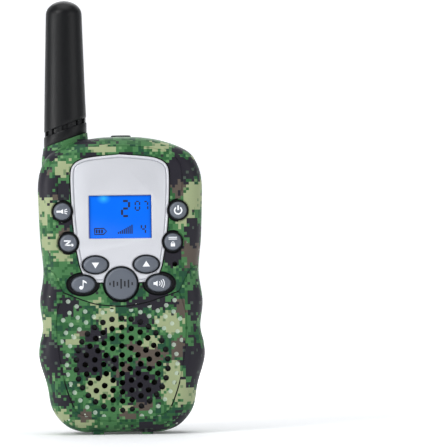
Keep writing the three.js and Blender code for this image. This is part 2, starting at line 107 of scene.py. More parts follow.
# %% Sweep, lamps and world
def stage_sweep(half=3.0, front=-2.2, back=1.6, bend=0.8, height=3.2):
    """A floor at z = 0 that turns up through a quarter circle, drawn along y and z and spread along x."""
    angle = np.linspace(0, math.pi / 2, 25)
    y = np.concatenate([[front], back + bend * np.sin(angle), [back + bend]])
    z = np.concatenate([[0], bend * (1 - np.cos(angle)), [height]])
    points = np.concatenate([np.stack([np.full_like(y, x), y, z], 1) for x in (-half, half)])
    n = len(y)
    faces = [(i, n + i, n + i + 1, i + 1) for i in range(n - 1)]
    data = bpy.data.meshes.new("sweep")
    data.from_pydata(points.tolist(), [], faces)
    data.polygons.foreach_set("use_smooth", [True] * len(faces))
    obj = bpy.data.objects.new("sweep", data)
    bpy.context.scene.collection.objects.link(obj)
    return obj


def lamp(name, place, aim_at, size, watts, colour=(1, 1, 1)):
    """A square softbox at place, facing aim_at."""
    data = bpy.data.lights.new(name, "AREA")
    data.size = size
    data.energy = watts
    data.color = colour
    obj = bpy.data.objects.new(name, data)
    bpy.context.scene.collection.objects.link(obj)
    obj.location = place
    obj.rotation_euler = (Vector(aim_at) - Vector(place)).to_track_quat("-Z", "Y").to_euler()
    return obj


sweep = stage_sweep()
middle = (0, 0, 0.07)
lamp("key", (-0.75, -0.85, 0.75), middle, 0.4, 6.5)
lamp("fill", (0.95, -0.7, 0.35), middle, 0.7, 2.6)
lamp("strip", (-0.95, -0.36, 0.12), middle, 0.3, 3.2)
lamp("above", (0.0, -0.15, 1.1), middle, 0.9, 5.0)
lamp("behind", (0.0, 0.9, 0.8), (0, 0.2, 0.1), 0.8, 3.0)
world = bpy.data.worlds.new("world")
bpy.context.scene.world = world
world.use_nodes = True
world.node_tree.nodes["Background"].inputs[0].default_value = (0.93, 0.96, 1.0, 1)
world.node_tree.nodes["Background"].inputs[1].default_value = 0.32
bpy.context.scene.view_settings.view_transform = "Standard"

# %% [markdown]
# ## Writing a finish as sums
# A finish is a short piece of arithmetic on the place of each point. One small class wraps a node's
# output, so that `1 - mask` or `noise * 0.4` adds the Math node for it. Any other node comes from one
# method.

# %% Sockets that do sums, and a finish
class Value:
    """A number in a node tree: each operator adds one Math node."""

    def __init__(self, finish, socket):
        self.finish = finish
        self.socket = socket

    def math(self, operation, other=None, first=None):
        given = [first, other] if first is not None else [self, other]
        return Value(self.finish, self.finish.node(
            "ShaderNodeMath", {"operation": operation},
            {i: v for i, v in enumerate(given) if v is not None},
        ).outputs[0])

    def __add__(self, other):
        return self.math("ADD", other)

    def __sub__(self, other):
        return self.math("SUBTRACT", other)

    def __rsub__(self, other):
        return self.math("SUBTRACT", self, first=other)

    def __mul__(self, other):
        return self.math("MULTIPLY", other)

    def __lt__(self, other):
        return self.math("LESS_THAN", other)

    def __gt__(self, other):
        return self.math("GREATER_THAN", other)

    def least(self, other):
        return self.math("MINIMUM", other)

    __radd__ = __add__
    __rmul__ = __mul__


def linear(*srgb):
    """A colour given as 0 to 255 screen values, in the linear values that a shader takes."""
    parts = [c / 255 for c in srgb]
    return [c / 12.92 if c <= 0.04045 else ((c + 0.055) / 1.055) ** 2.4 for c in parts] + [1.0]


class Finish:
    """A material with one Principled shader, whose varying inputs are set by name."""

    def __init__(self, name, **constant):
        self.material = bpy.data.materials.new(name)
        self.material.use_nodes = True
        self.tree = self.material.node_tree
        self.shader = self.tree.nodes["Principled BSDF"]
        for key, value in constant.items():
            self.shader.inputs[key.replace("_", " ")].default_value = value

    def feed(self, socket, value):
        if isinstance(value, Value):
            value = value.socket
        if isinstance(value, bpy.types.NodeSocket):
            self.tree.links.new(value, socket)
        else:
            socket.default_value = value

    def node(self, kind, settings=None, inputs=None):
        made = self.tree.nodes.new(kind)
        for key, value in (settings or {}).items():
            setattr(made, key, value)
        for key, value in (inputs or {}).items():
            self.feed(made.inputs[key], value)
        return made

    def place(self):
        """Object coordinates in millimetres, counted from the parting plane."""
        where = self.node("ShaderNodeTexCoord").outputs["Object"]
        return self.vector("SUBTRACT", self.vector("MULTIPLY", where, (1000, 1000, 1000)), (0, PART_Y, 0))

    def vector(self, operation, a, b=None):
        inputs = {0: a} if b is None else {0: a, 1: b}
        return self.node("ShaderNodeVectorMath", {"operation": operation}, inputs).outputs[0]

    def length(self, a):
        made = self.node("ShaderNodeVectorMath", {"operation": "LENGTH"}, {0: a})
        return Value(self, made.outputs["Value"])

    def noise(self, where, scale, detail=2.0, roughness=0.5):
        made = self.node(
            "ShaderNodeTexNoise", None,
            {"Vector": where, "Scale": scale, "Detail": detail, "Roughness": roughness},
        )
        return Value(self, made.outputs["Fac"])

    def mix(self, mask, under, over):
        made = self.node("ShaderNodeMix", {"data_type": "RGBA"}, {0: mask, 6: under, 7: over})
        return made.outputs[2]

    def bump(self, height, depth, strength=1.0):
        """Relief of a given depth in millimetres."""
        made = self.node(
            "ShaderNodeBump", None, {"Height": height, "Distance": depth * MM, "Strength": strength},
        )
        self.feed(self.shader.inputs["Normal"], made.outputs[0])

    def wear(self, socket, value):
        self.feed(self.shader.inputs[socket], value)


# %% [markdown]
# ## Camouflage of small squares
# The shells carry a print made of little squares. Rounding each point's place to a grid of cells makes
# one colour per cell. Big patches of dark, brown and tan are laid where the print has them, and a
# noise that is also read once per cell breaks their edges into steps. Rounding all three directions lets
# the same print run round the rounded edges and over the back, where patches come from the noise alone.

# %% Camouflage
CELL = 0.98  # millimetres along each side of a printed square
RING_STEP = 3.24  # millimetres between the rings of loudspeaker holes
OPEN_RINGS = 5
DARK_PATCHES = [  # middle x and z, then half sizes
    (-25, 28, 4.2, 7.5), (-19.7, 45.5, 4.5, 3), (-26.5, 49, 4, 4), (-11.6, 26.5, 4.6, 6),
    (-9.7, 34.6, 3.6, 2.6),
    (6, 17, 6.4, 6.2), (6.5, 40, 3.6, 2), (25.5, 25.5, 4.4, 8.5), (10, 46.6, 8.5, 2.8), (26, 46, 3.4, 6),
    (22, 4.5, 6, 3.2), (9, 2.4, 7, 1.8), (-22, 12.2, 3.2, 2), (-3, 25, 2, 2.6), (-25.8, 88, 4.4, 4.6),
    (-20, 86.6, 3, 4.4), (23.5, 93.2, 5.4, 4.4), (18.7, 92.5, 3, 5), (-25, 99, 3.4, 1.8), (-11, 98.4, 3, 1.2),
    (-12, 103.4, 4, 1.2), (25.4, 71.5, 3.2, 4.6), (17.6, 63.6, 3.4, 4.2), (-19.6, 76.4, 3.4, 3.4),
    (-25.8, 51, 4, 2.4), (2.5, 98.7, 2.6, 0.9), (20.4, 99.6, 3, 1.4),
]
TAN_PATCHES = [
    (-20.5, 93.8, 2.8, 4), (-6.1, 100.4, 4, 1.5), (13.4, 101.2, 4, 1.5), (-27, 81, 3.6, 5.4),
    (-24.8, 67.5, 5.4, 3),
    (-20.8, 63, 3.8, 1.8), (25.4, 84, 4, 6.2), (22.8, 76, 3.4, 4), (-4.9, 40.4, 4.6, 4), (10, 32.2, 3.4, 2.4),
    (17, 39.4, 4.8, 3.6), (17.6, 18, 4.2, 7), (23.4, 13.8, 5.4, 2.8), (-8, 16.8, 4.8, 5),
    (0.4, 9.2, 2.8, 1.2),
    (-21.8, 6.8, 3.2, 2), (-14, 4.2, 4, 1.6), (-27, 38, 2, 4), (-16.6, 33.6, 2.8, 2), (-8.4, 46.8, 1.8, 1.6),
    (26.5, 97, 1.6, 2.4),
]
BROWN_PATCHES = [
    (10, 27.4, 4.8, 3), (4, 30.6, 3, 2), (0.4, 22.4, 3, 2), (7, 10.2, 3.4, 2), (20.6, 45, 2.4, 3.4),
    (19.8, 30.4, 2.4, 4), (25, 65, 3.8, 5.4), (19.8, 87.6, 2.4, 4), (-22, 84, 3, 1.4), (-26, 92.4, 2, 1.2),
    (-13.6, 6.8, 2.2, 1.8), (1.6, 6.6, 3, 1.2), (-11.4, 35.6, 3.4, 1.4), (-20, 71.6, 2.2, 1.2),
]


def patch_field(finish, where, patches):
    """Least elliptical distance to any patch: below 1 is inside one. Depth doesn't count."""
    field = None
    for x, z, half_x, half_z in patches:
        offset = finish.vector("SUBTRACT", where, (x, 0, z))
        span = finish.length(finish.vector("MULTIPLY", offset, (1 / half_x, 0, 1 / half_z)))
        field = span if field is None else field.least(span)
    return field


def painted_shade_and_dimples(finish, where):
    """Masks of painted shade, and of the dimples, which are coloured paler.

    Painted shade turns near black the wells round the keys and all that lies under the front and back faces,
    where shade falls. A hole's distance comes from polar sums: n is the nearest ring, and the turn is taken
    to the nearest of its 6 n places.
    """
    parts = finish.node("ShaderNodeSeparateXYZ", None, {0: where})
    x, y, z = (Value(finish, parts.outputs[i]) for i in range(3))
    front, back = node_box("front_shell")[0][1] - PART_Y, node_box("battery_door")[1][1] - PART_Y
    under = (y > front + 0.1) * (y < back - 0.3)
    reach = 20.4 - (18 - z).math("MAXIMUM", 0.0) * 0.3 - (z - 88).math("MAXIMUM", 0.0) * 0.5
    painted_shade = (reach - x.math("ABSOLUTE") > 0.0) * (z > 10) * (z < 97.5)
    for node in sorted(n for n in frame["nodes"] if n.endswith("_button")):
        low, high = node_box(node)
        half = (high - low) / 2
        offset = finish.vector("SUBTRACT", where, tuple((low + high) / 2))
        painted_shade = painted_shade + (finish.length(finish.vector("MULTIPLY", offset, (1 / half[0], 0, 1 / half[2]))) < 1.0)
    low, high = node_box("speaker_frame")
    across, up = x - (low[0] + high[0]) / 2, z - (low[2] + high[2]) / 2
    radius = (across * across + up * up).math("SQRT")
    ring = (radius * (1 / RING_STEP)).math("ROUND")
    turn = across.math("ARCTAN2", up) * (6 / (2 * math.pi)) * ring
    aside = (turn - turn.math("ROUND")) * (2 * math.pi * RING_STEP / 6)
    outward = radius - ring * RING_STEP
    spot = (aside * aside + outward * outward < 0.78 ** 2) * (ring > OPEN_RINGS + 0.5) * (y < front + 0.6)
    side = 21.6 - (z - 36) * (z - 36) * 0.009
    roof = x * x * 0.013 + 44.2
    spot = spot * (side - x.math("ABSOLUTE") > 0.0) * (roof - z > 0.0) * (z > 6.5)
    return (painted_shade > 0.5) * under * (1 - spot), spot * under


def camouflage():
    finish = Finish("pixel_camouflage", Roughness=0.42, Specular_IOR_Level=0.2)
    where = finish.place()
    shifted = finish.vector("ADD", where, (0.2, 0.6, 0.35))
    cell = finish.vector("SNAP", shifted, (CELL, 1.5 * CELL, CELL))
    single = Value(finish, finish.node("ShaderNodeTexWhiteNoise", None, {"Vector": cell}).outputs["Value"])
    other = finish.vector("ADD", cell, (31.7, 11.3, 57.1))
    second = Value(finish, finish.node("ShaderNodeTexWhiteNoise", None, {"Vector": other}).outputs["Value"])
    ragged = (finish.noise(cell, 0.42, 3) - 0.5) * 2.6 + (single - 0.5) * 0.34
    depth = Value(finish, finish.node("ShaderNodeSeparateXYZ", None, {0: where}).outputs[1])
    rear = depth > 0.0

    def areas(patches, offset, share):
        """Laid patches in front of the parting plane; behind it, noise that covers about the same share."""
        moved = finish.vector("ADD", cell, offset)
        blobs = finish.noise(moved, 0.13, 1.5) * 4.4 + (second - 0.5) * 0.3
        return (patch_field(finish, cell, patches) + ragged + rear * 9 < 1.0) + (rear * blobs > share)

    tone = finish.noise(finish.vector("ADD", cell, (7.3, 3.1, 1.7)), 0.22, 2) + (single - 0.5) * 0.22
    colour = finish.mix(tone > 0.5, linear(43, 90, 51), linear(66, 114, 69))
    colour = finish.mix(tone < 0.40, colour, linear(30, 72, 50))
    colour = finish.mix(second > 0.965, colour, linear(98, 140, 92))
    colour = finish.mix(second < 0.03, colour, linear(42, 50, 46))
    tan = areas(TAN_PATCHES, (3.7, 41.3, 9.1), 2.62)
    colour = finish.mix(tan, colour, linear(150, 161, 122))
    colour = finish.mix(tan * (second > 0.93), colour, linear(108, 130, 92))
    brown = areas(BROWN_PATCHES, (83.1, 5.7, 23.9), 2.66)
    colour = finish.mix(brown, colour, linear(86, 77, 69))
    dark = areas(DARK_PATCHES, (19.9, 77.7, 63.3), 2.46)
    colour = finish.mix(dark, colour, linear(34, 32, 40))
    colour = finish.mix(dark * (single > 0.94), colour, linear(66, 78, 70))
    specks = Value(finish, finish.node(
        "ShaderNodeTexVoronoi", None, {"Vector": where, "Scale": 0.16, "Randomness": 1.0},
    ).outputs["Distance"]) < 0.075
    colour = finish.mix(specks * (second > 0.25) * 0.75, colour, linear(205, 215, 200))
    painted_shade, dimple = painted_shade_and_dimples(finish, where)
    colour = finish.mix(dimple * 0.62, colour, linear(190, 206, 190))
    # Painted shade: the key wells and all that lies below the front and back faces go near black.
    colour = finish.mix(painted_shade, colour, linear(16, 17, 19))
    finish.wear("Base Color", colour)
    finish.wear("Roughness", finish.noise(where, 1.6, 3) * 0.16 + 0.36)
    finish.bump(finish.noise(where, 4.0, 3), 0.02, 0.5)
    return finish.material


CAMO = camouflage()
print("camouflage nodes", len(CAMO.node_tree.nodes))

# %% [markdown]
# ## The plain finishes
# Each of the other finishes is one colour with what the eye still reads as material: flecks in silver
# paint, a fine spark-eroded grain on the keys, a coarse grain on the soft antenna, drawing lines on
# steel.

# %% Painted, moulded and metal finishes
def grained(name, colour, roughness, scale, depth, metallic=0.0, vary=0.12, strength=0.6, **constant):
    """One colour whose tone, roughness and relief follow a noise of scale per millimetre."""
    finish = Finish(name, Metallic=metallic, **constant)
    where = finish.place()
    grain = finish.noise(where, scale, 4, 0.6)
    tone = finish.noise(where, 0.12, 2)
    lighter = [min(1, c * (1 + vary)) for c in colour[:3]] + [1]
    darker = [c * (1 - vary) for c in colour[:3]] + [1]
    finish.wear("Base Color", finish.mix(tone * 0.6 + grain * 0.4, darker, lighter))
    finish.wear("Roughness", grain * 0.14 + (roughness - 0.07))
    finish.bump(grain, depth, strength)
    return finish.material


def silver_paint():
    """Fine bright flecks held in a clear satin paint."""
    finish = Finish("silver_paint", Metallic=0.35, Coat_Weight=0.15, Coat_Roughness=0.25)
    where = finish.place()
    fleck = Value(finish, finish.node(
        "ShaderNodeTexVoronoi", None, {"Vector": where, "Scale": 9.0},
    ).outputs["Distance"])
    cloud = finish.noise(where, 0.07, 2)
    shade = finish.mix(cloud, linear(203, 204, 209), linear(217, 218, 223))
    finish.wear("Base Color", finish.mix((fleck < 0.2) * 0.35, shade, linear(246, 247, 250)))
    finish.wear("Roughness", fleck * 0.12 + 0.3)
    finish.bump(fleck, 0.008, 0.4)
    return finish.material


def lit_window():
    """A backlit blue sheet: brightest by the lamp near one corner, with painted shade of the frame on three
    edges.
    """
    finish = Finish("lit_window", Roughness=0.2, Specular_IOR_Level=0.2)
    low, high = node_box("display_window")
    centre = (low + high) / 2
    half = (high - low) / 2
    where = finish.place()
    offset = finish.vector("SUBTRACT", where, (centre[0], 0, centre[2]))
    parts = finish.node("ShaderNodeSeparateXYZ", None, {0: offset})
    across = Value(finish, parts.outputs[0])
    up = Value(finish, parts.outputs[2])
    # Painted shade: the frame's shadow darkens the sheet towards its left, right and top edges.
    edge = (across.math("ABSOLUTE") * (1 / half[0])).math("POWER", 26.0)
    edge = edge.math("MAXIMUM", (up * (1 / half[2])).math("MAXIMUM", 0.0).math("POWER", 22.0))
    spot_at = finish.vector("SUBTRACT", offset, (-0.53 * half[0], 0, 0.86 * half[2]))
    spot = finish.length(finish.vector("MULTIPLY", spot_at, (0.36, 0, 0.46)))
    glow = (1 - spot).math("MAXIMUM", 0.0).math("POWER", 1.5)
    sheet = finish.mix(finish.noise(where, 0.12, 1), linear(0, 106, 238), linear(2, 114, 246))
    # Painted shade of the frame, in the sheet's light.
    colour = finish.mix(edge, sheet, linear(4, 40, 120))
    colour = finish.mix(glow, colour, linear(60, 196, 255))
    finish.wear("Emission Color", colour)
    finish.shader.inputs["Emission Strength"].default_value = 0.92
    # Painted shade of the frame, in the base colour too.
    finish.wear("Base Color", finish.mix(edge, linear(0, 40, 110), linear(0, 12, 40)))
    return finish.material


def cell_sleeve():
    """A glossy printed sleeve: graphite below, a thin pale line, and copper over the top quarter."""
    finish = Finish("cell_sleeve", Metallic=0.6, Coat_Weight=0.3)
    where = finish.place()
    height = Value(finish, finish.node("ShaderNodeSeparateXYZ", None, {0: where}).outputs[2])
    middle_z = float((node_box("cell_1")[0][2] + node_box("cell_1")[1][2]) / 2)
    brushed = finish.noise(finish.vector("MULTIPLY", where, (3, 3, 0.1)), 1.0, 2)
    odd = Value(finish, finish.node("ShaderNodeSeparateXYZ", None, {0: where}).outputs[0])
    pitch = float(node_box("cell_2")[0][0] - node_box("cell_1")[0][0])
    turned_over = (odd * (1 / pitch)).math("FLOOR").math("MODULO", 2.0).math("ABSOLUTE") > 0.5
    share = (height - middle_z) * (1 - turned_over * 2.0)
    sleeve = finish.mix(brushed, linear(40, 41, 44), linear(54, 55, 59))
    sleeve = finish.mix(share > 9.2, sleeve, linear(206, 208, 210))
    sleeve = finish.mix(share > 10.0, sleeve, finish.mix(brushed, linear(168, 98, 48), linear(190, 116, 62)))
    finish.wear("Base Color", sleeve)
    finish.wear("Roughness", brushed * 0.12 + 0.26)
    finish.bump(brushed, 0.004, 0.4)
    return finish.material


def card():
    """White card glowing with painted light, faint near the radio and full away from it, so that its shadow
    shows.
    """
    finish = Finish("card", Roughness=0.85, Emission_Strength=0.5)
    where = finish.place()
    # Painted light: the card's glow is faint within 130 mm of the radio and full from 480 mm out.
    away = ((finish.length(where) - 130) * (1 / 350)).math("MAXIMUM", 0.0).least(1.0)
    glow = finish.mix(away, (0.14, 0.14, 0.14, 1), (0.99, 0.995, 1.0, 1))
    finish.wear("Emission Color", glow)
    cloud = finish.noise(where, 0.02, 2)
    finish.wear("Base Color", finish.mix(cloud, (0.93, 0.935, 0.95, 1), (0.95, 0.955, 0.965, 1)))
    return finish.material


MATERIAL = {
    "camo": CAMO,
    "silver": silver_paint(),
    "button": grained("key_plastic", linear(90, 96, 106), 0.42, 5, 0.02, Coat_Weight=0.1, Coat_Roughness=0.3),
    "black": grained("black_plastic", linear(34, 35, 38), 0.45, 4, 0.03),
    "soft": grained("grained_rubber", linear(11, 12, 14), 0.36, 2.6, 0.1, vary=0.2, strength=0.7, IOR=1.32),
    "window": lit_window(),
    "lcd": grained("display_glass", linear(60, 150, 230), 0.15, 1, 0.002),
    "clear": grained("clear_plastic", linear(225, 232, 236), 0.1, 1, 0.004, Transmission_Weight=0.6),
    "rubber": grained("silicone", linear(70, 71, 74), 0.7, 3, 0.02),
    "board": grained("circuit_board", linear(26, 88, 52), 0.4, 0.9, 0.04, vary=0.3),
    "steel": grained("plated_steel", linear(186, 188, 193), 0.28, 6, 0.01, metallic=1.0),
    "brass": grained("brass_wire", linear(196, 166, 96), 0.3, 6, 0.01, metallic=1.0),
    "paper": grained("pressed_paper", linear(52, 48, 44), 0.9, 2.2, 0.08, vary=0.25),
    "cell": cell_sleeve(),
    "print": grained("white_print", linear(240, 242, 245), 0.5, 5, 0.004, vary=0.04),
    "segment": grained("display_segment", linear(10, 22, 58), 0.3, 5, 0.002),
    # Painted shade: a dark inlay laid in the talk key's engraved strokes.
    "mark": grained("engraving_painted_shade", linear(26, 28, 34), 0.6, 5, 0.01),
}
sweep.data.materials.append(card())

# %% [markdown]
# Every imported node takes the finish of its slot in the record. The nodes that stay hidden inside the case
# get theirs too, because the battery door opens.

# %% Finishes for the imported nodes
slot_of = {entry["node"]: entry["material_slot"] for entry in frame["record"]["subparts"]}
for node_name, node_object in frame["nodes"].items():
    node_object.data.materials.clear()
    node_object.data.materials.append(MATERIAL[slot_of[node_name]])
print("finished nodes", len(slot_of))

# %% [markdown]
# ## Surfaces from loops of points
# Most pieces here are closed skins over a stack of loops: a pillow-shaped shell is its outline drawn
# again and again, a key is a stack of ellipses, a wire is a small circle carried along a path. One
# function builds the skin from an array of loops, whole, and everything else only works out where the
# loops go. Lengths are written in millimetres about the parting plane, and become metres in the shared
# frame as the mesh is made.

# %% Skins over stacked loops
PIECES = []


def new_piece(name, points, faces, material=None, body="case", sharp=32.0):
    """A mesh object from points (n, 3) in millimetres, with doubles merged and faces turned outwards."""
    data = bpy.data.meshes.new(name)
    data.from_pydata(((points + (0, PART_Y, 0)) * MM).tolist(), [], faces)
    obj = bpy.data.objects.new(name, data)
    bpy.context.scene.collection.objects.link(obj)
    edit = bmesh.new()
    edit.from_mesh(data)
    bmesh.ops.remove_doubles(edit, verts=edit.verts, dist=1e-7)
    bmesh.ops.recalc_face_normals(edit, faces=edit.faces)
    edit.to_mesh(data)
    edit.free()
    if material:
        finish_piece(obj, material, body, sharp)
    return obj


def finish_piece(obj, material, body="case", sharp=32.0):
    """Gives a piece its material, smooth faces with sharp edges above an angle, and its body, if any."""
    obj.data.materials.clear()
    obj.data.materials.append(MATERIAL[material])
    obj.data.polygons.foreach_set("use_smooth", [True] * len(obj.data.polygons))
    obj.data.set_sharp_from_angle(angle=math.radians(sharp))
    if body:
        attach(obj, body)
    PIECES.append(obj)
    return obj


def skin(loops, offset=0):
    """Faces over loops shaped (count, around): quads between neighbours, and a flat face over each end."""
    count, around = loops
    row, column = np.meshgrid(np.arange(count - 1), np.arange(around), indexing="ij")
    after = (column + 1) % around
    quads = np.stack(
        [row * around + column, row * around + after, (row + 1) * around + after,
         (row + 1) * around + column], -1,
    ).reshape(-1, 4) + offset
    ends = [
        [offset + i for i in reversed(range(around))],
        [offset + (count - 1) * around + i for i in range(around)],
    ]
    return quads.tolist() + ends


def loft(name, loops, *finish, **more):
    """One closed skin over an array of loops shaped (count, around, 3)."""
    return new_piece(name, loops.reshape(-1, 3), skin(loops.shape[:2]), *finish, **more)


def lofts(name, stacks, *finish, **more):
    """Several closed skins, kept apart, in one mesh."""
    points, faces, start = [], [], 0
    for loops in stacks:
        points.append(loops.reshape(-1, 3))
        faces += skin(loops.shape[:2], start)
        start += len(points[-1])
    return new_piece(name, np.concatenate(points), faces, *finish, **more)


def eased(corners, reach, steps=4):
    """A profile with each inner corner replaced by a quadratic curve that starts reach before it."""
    corners = np.asarray(corners, float)
    out = [corners[:1]]
    t = np.linspace(0, 1, steps + 1)[:, None]
    for before, corner, after in zip(corners[:-2], corners[1:-1], corners[2:]):
        back, ahead = before - corner, after - corner
        a = corner + back * min(reach / np.hypot(*back), 0.5)
        b = corner + ahead * min(reach / np.hypot(*ahead), 0.5)
        out.append((1 - t) ** 2 * a + 2 * t * (1 - t) * corner + t ** 2 * b)
    return np.concatenate(out + [corners[-1:]])


def turned(profile, at, sides=48, along="y", wide=1.0):
    """Loops of a turned shape: radius times cosine and sine of the angle, with height along one axis."""
    profile = np.asarray(profile, float)
    angle = np.arange(sides) / sides * 2 * math.pi
    across = profile[:, :1] * np.cos(angle) * wide
    up = profile[:, :1] * np.sin(angle)
    height = profile[:, 1:] + 0 * angle
    order = {"x": (height, across, up), "y": (across, height, up), "z": (across, up, height)}[along]
    return np.stack(order, -1) + np.asarray(at, float)


def wire(path, radius, sides=8, reference=(0, 1, 0)):
    """Loops of a round wire: circles square to the path, turned by one fixed reference direction."""
    path = np.asarray(path, float)
    along = np.gradient(path, axis=0)
    along /= np.linalg.norm(along, axis=1, keepdims=True)
    first = np.cross(along, reference)
    first /= np.linalg.norm(first, axis=1, keepdims=True)
    second = np.cross(along, first)
    angle = (np.arange(sides) + 0.5) / sides * 2 * math.pi
    circle = np.cos(angle)[None, :, None] * first[:, None] + np.sin(angle)[None, :, None] * second[:, None]
    return path[:, None] + circle * np.reshape(radius, (-1, 1, 1))


def block(low, high, edge=0.3, axis=1):
    """Loops of a block with rounded corners and eased rims: four quarter circles, drawn in from both ends."""
    low, high = np.asarray(low, float), np.asarray(high, float)
    flat = [i for i in range(3) if i != axis]
    turn = np.linspace(0, math.pi / 2, 5)
    angle = np.concatenate([turn + k * math.pi / 2 for k in range(4)])
    side = np.repeat([[1, 1], [-1, 1], [-1, -1], [1, -1]], 5, axis=0)
    half = (high - low)[flat] / 2
    middle = (high + low)[flat] / 2
    loops = []
    ease = np.linspace(0, math.pi / 2, 4)
    for end, sign in ((low[axis], 1), (high[axis], -1)):
        for a in (ease if sign == 1 else ease[::-1]):
            inset = edge * (1 - math.sin(a))
            radius = edge - inset + 0.001
            ring = middle + side * (half - edge) + radius * np.stack([np.cos(angle), np.sin(angle)], 1)
            loop = np.empty((len(angle), 3))
            loop[:, flat] = ring
            loop[:, axis] = end + sign * edge * (1 - math.cos(a))
            loops.append(loop)
    return np.stack(loops)


def carve(piece, tool, operation="DIFFERENCE"):
    """Cuts, joins or keeps what is shared, writes the result into the piece, and throws the tool away."""
    change = piece.modifiers.new("carve", "BOOLEAN")
    change.operation = operation
    change.solver = "MANIFOLD"
    change.object = tool
    bpy.context.view_layer.update()
    made = bpy.data.meshes.new_from_object(piece.evaluated_get(bpy.context.evaluated_depsgraph_get()))
    piece.modifiers.clear()
    if not len(made.polygons):
        raise RuntimeError(f"{piece.name}: nothing is left after {tool.name}")
    before = piece.data
    piece.data = made
    bpy.data.meshes.remove(before)
    bpy.data.objects.remove(tool)
    return piece


# %% [markdown]
# ## The shells' outline
# Seen from the front the case is a soft shield: round shoulders, a waist for the fingers, a swell and a
# round foot. Half of it is a smooth curve through a few points, mirrored. From side to side the case is a
# cushion: a flat face and back, and between them an edge that follows a quarter ellipse out to the
# outline.

# %% Outline and cushion
HALF_DEPTH = 15.0
WALL = 2.4
EDGE_DEPTH = 7.0
EDGE_WIDTH = 6.0
SEAM = 0.15
FACE = -HALF_DEPTH
INNER_FACE = FACE + WALL
BODY_SIDE = [
    (0, 0.8), (8, 0.8), (14.5, 1.0), (20.4, 3.4), (25, 9.2), (26.8, 17.8), (29.3, 26.5), (29.2, 32),
    (28, 38), (28.9, 47), (27.6, 57.5), (28.6, 69), (29.1, 81.7), (29.1, 89), (27.8, 94.6),
    (24.4, 99.6), (16.3, 103.2), (8, 104.8), (0, 105.1),
]


def smooth_curve(points, count):
    """A curve through points, evenly spaced: cubic pieces whose slope at a point joins its two neighbours."""
    p = np.asarray(points, float)
    before = np.concatenate([p[:1], p[:-1]])
    after = np.concatenate([p[1:], p[-1:]])
    slope = (after - before) / 2
    t = np.linspace(0, 1, 40, endpoint=False)[None, :, None]
    start, end, leave, arrive = p[:-1, None], p[1:, None], slope[:-1, None], slope[1:, None]
    fine = (
        (2 * t**3 - 3 * t**2 + 1) * start + (t**3 - 2 * t**2 + t) * leave
        + (3 * t**2 - 2 * t**3) * end + (t**3 - t**2) * arrive
    ).reshape(-1, 2)
    fine = np.concatenate([fine, p[-1:]])
    run = np.concatenate([[0], np.cumsum(np.hypot(*np.diff(fine, axis=0).T))])
    even = np.linspace(0, run[-1], count + 1)
    return np.stack([np.interp(even, run, fine[:, i]) for i in (0, 1)], 1)


def mirrored(side, count):
    """A closed outline, anticlockwise from its foot, from the curve of its right side."""
    right = smooth_curve(side, count)
    return np.concatenate([right, right[-2:0:-1] * (-1, 1)])


def outwards(outline):
    """Unit normals of a closed anticlockwise outline."""
    along = np.roll(outline, -1, 0) - np.roll(outline, 1, 0)
    along /= np.linalg.norm(along, axis=1, keepdims=True)
    return np.stack([along[:, 1], -along[:, 0]], 1)


def drawn(outline, steps):
    """Loops of an outline in X and Z, each moved in by an inset and set at a depth: steps are (inset, y)."""
    normal = outwards(outline)
    loops = []
    for inset, y in steps:
        flat = outline - normal * inset
        loops.append(np.stack([flat[:, 0], np.full(len(flat), float(y)), flat[:, 1]], 1))
    return np.stack(loops)


def cushion(inset, around=130, rows=18):
    """Loops of the case, or of its hollow a wall's thickness inside it."""
    angle = np.linspace(0, math.pi / 2, rows)
    straight = HALF_DEPTH - EDGE_DEPTH
    depth = straight + (EDGE_DEPTH - inset) * np.cos(angle)
    reach = EDGE_WIDTH - (EDGE_WIDTH - inset) * np.sin(angle)
    front = list(zip(reach, -depth))
    rear = list(zip(reach[::-1], depth[::-1]))
    return drawn(case_outline(around), front + rear)


def case_outline(count):
    """The case's outline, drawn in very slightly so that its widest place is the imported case's."""
    outline = mirrored(BODY_SIDE, count)
    return outline * (node_box("front_shell")[1][0] / outline[:, 0].max(), 1)


OUTLINE = case_outline(200)


def face_depth(x, z):
    """The front surface's y over a point: the face, falling round the edge's ellipse near the outline."""
    gap = np.hypot(np.asarray(x)[:, None] - OUTLINE[:, 0], np.asarray(z)[:, None] - OUTLINE[:, 1]).min(1)
    inward = np.clip(1 - gap / EDGE_WIDTH, 0, 0.999)
    return -(HALF_DEPTH - EDGE_DEPTH) - EDGE_DEPTH * np.sqrt(1 - inward**2)


print("outline points", len(OUTLINE), "widest", round(OUTLINE[:, 0].max() * 2, 2), "mm")

# %% [markdown]
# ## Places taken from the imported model
# The keys' middles and sizes, the antenna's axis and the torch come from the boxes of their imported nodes,
# so a fine piece sits exactly where its plain solid does. A key's box is its hidden flange, which stands
# out a little further than its cap all round.

# %% Keys and their places
FLANGE = 0.7
KEY_NAMES = ["talk", "call", "monitor", "down", "up", "lamp", "power", "scan", "menu"]


def key_place(name):
    """Middle x and z, radius, and how many times wider than high a key's cap is."""
    low, high = node_box(name + "_button")
    size = high - low
    cap_high = size[2] - 2 * FLANGE
    return (low[0] + high[0]) / 2, (low[2] + high[2]) / 2, cap_high / 2, size[0] / size[2]


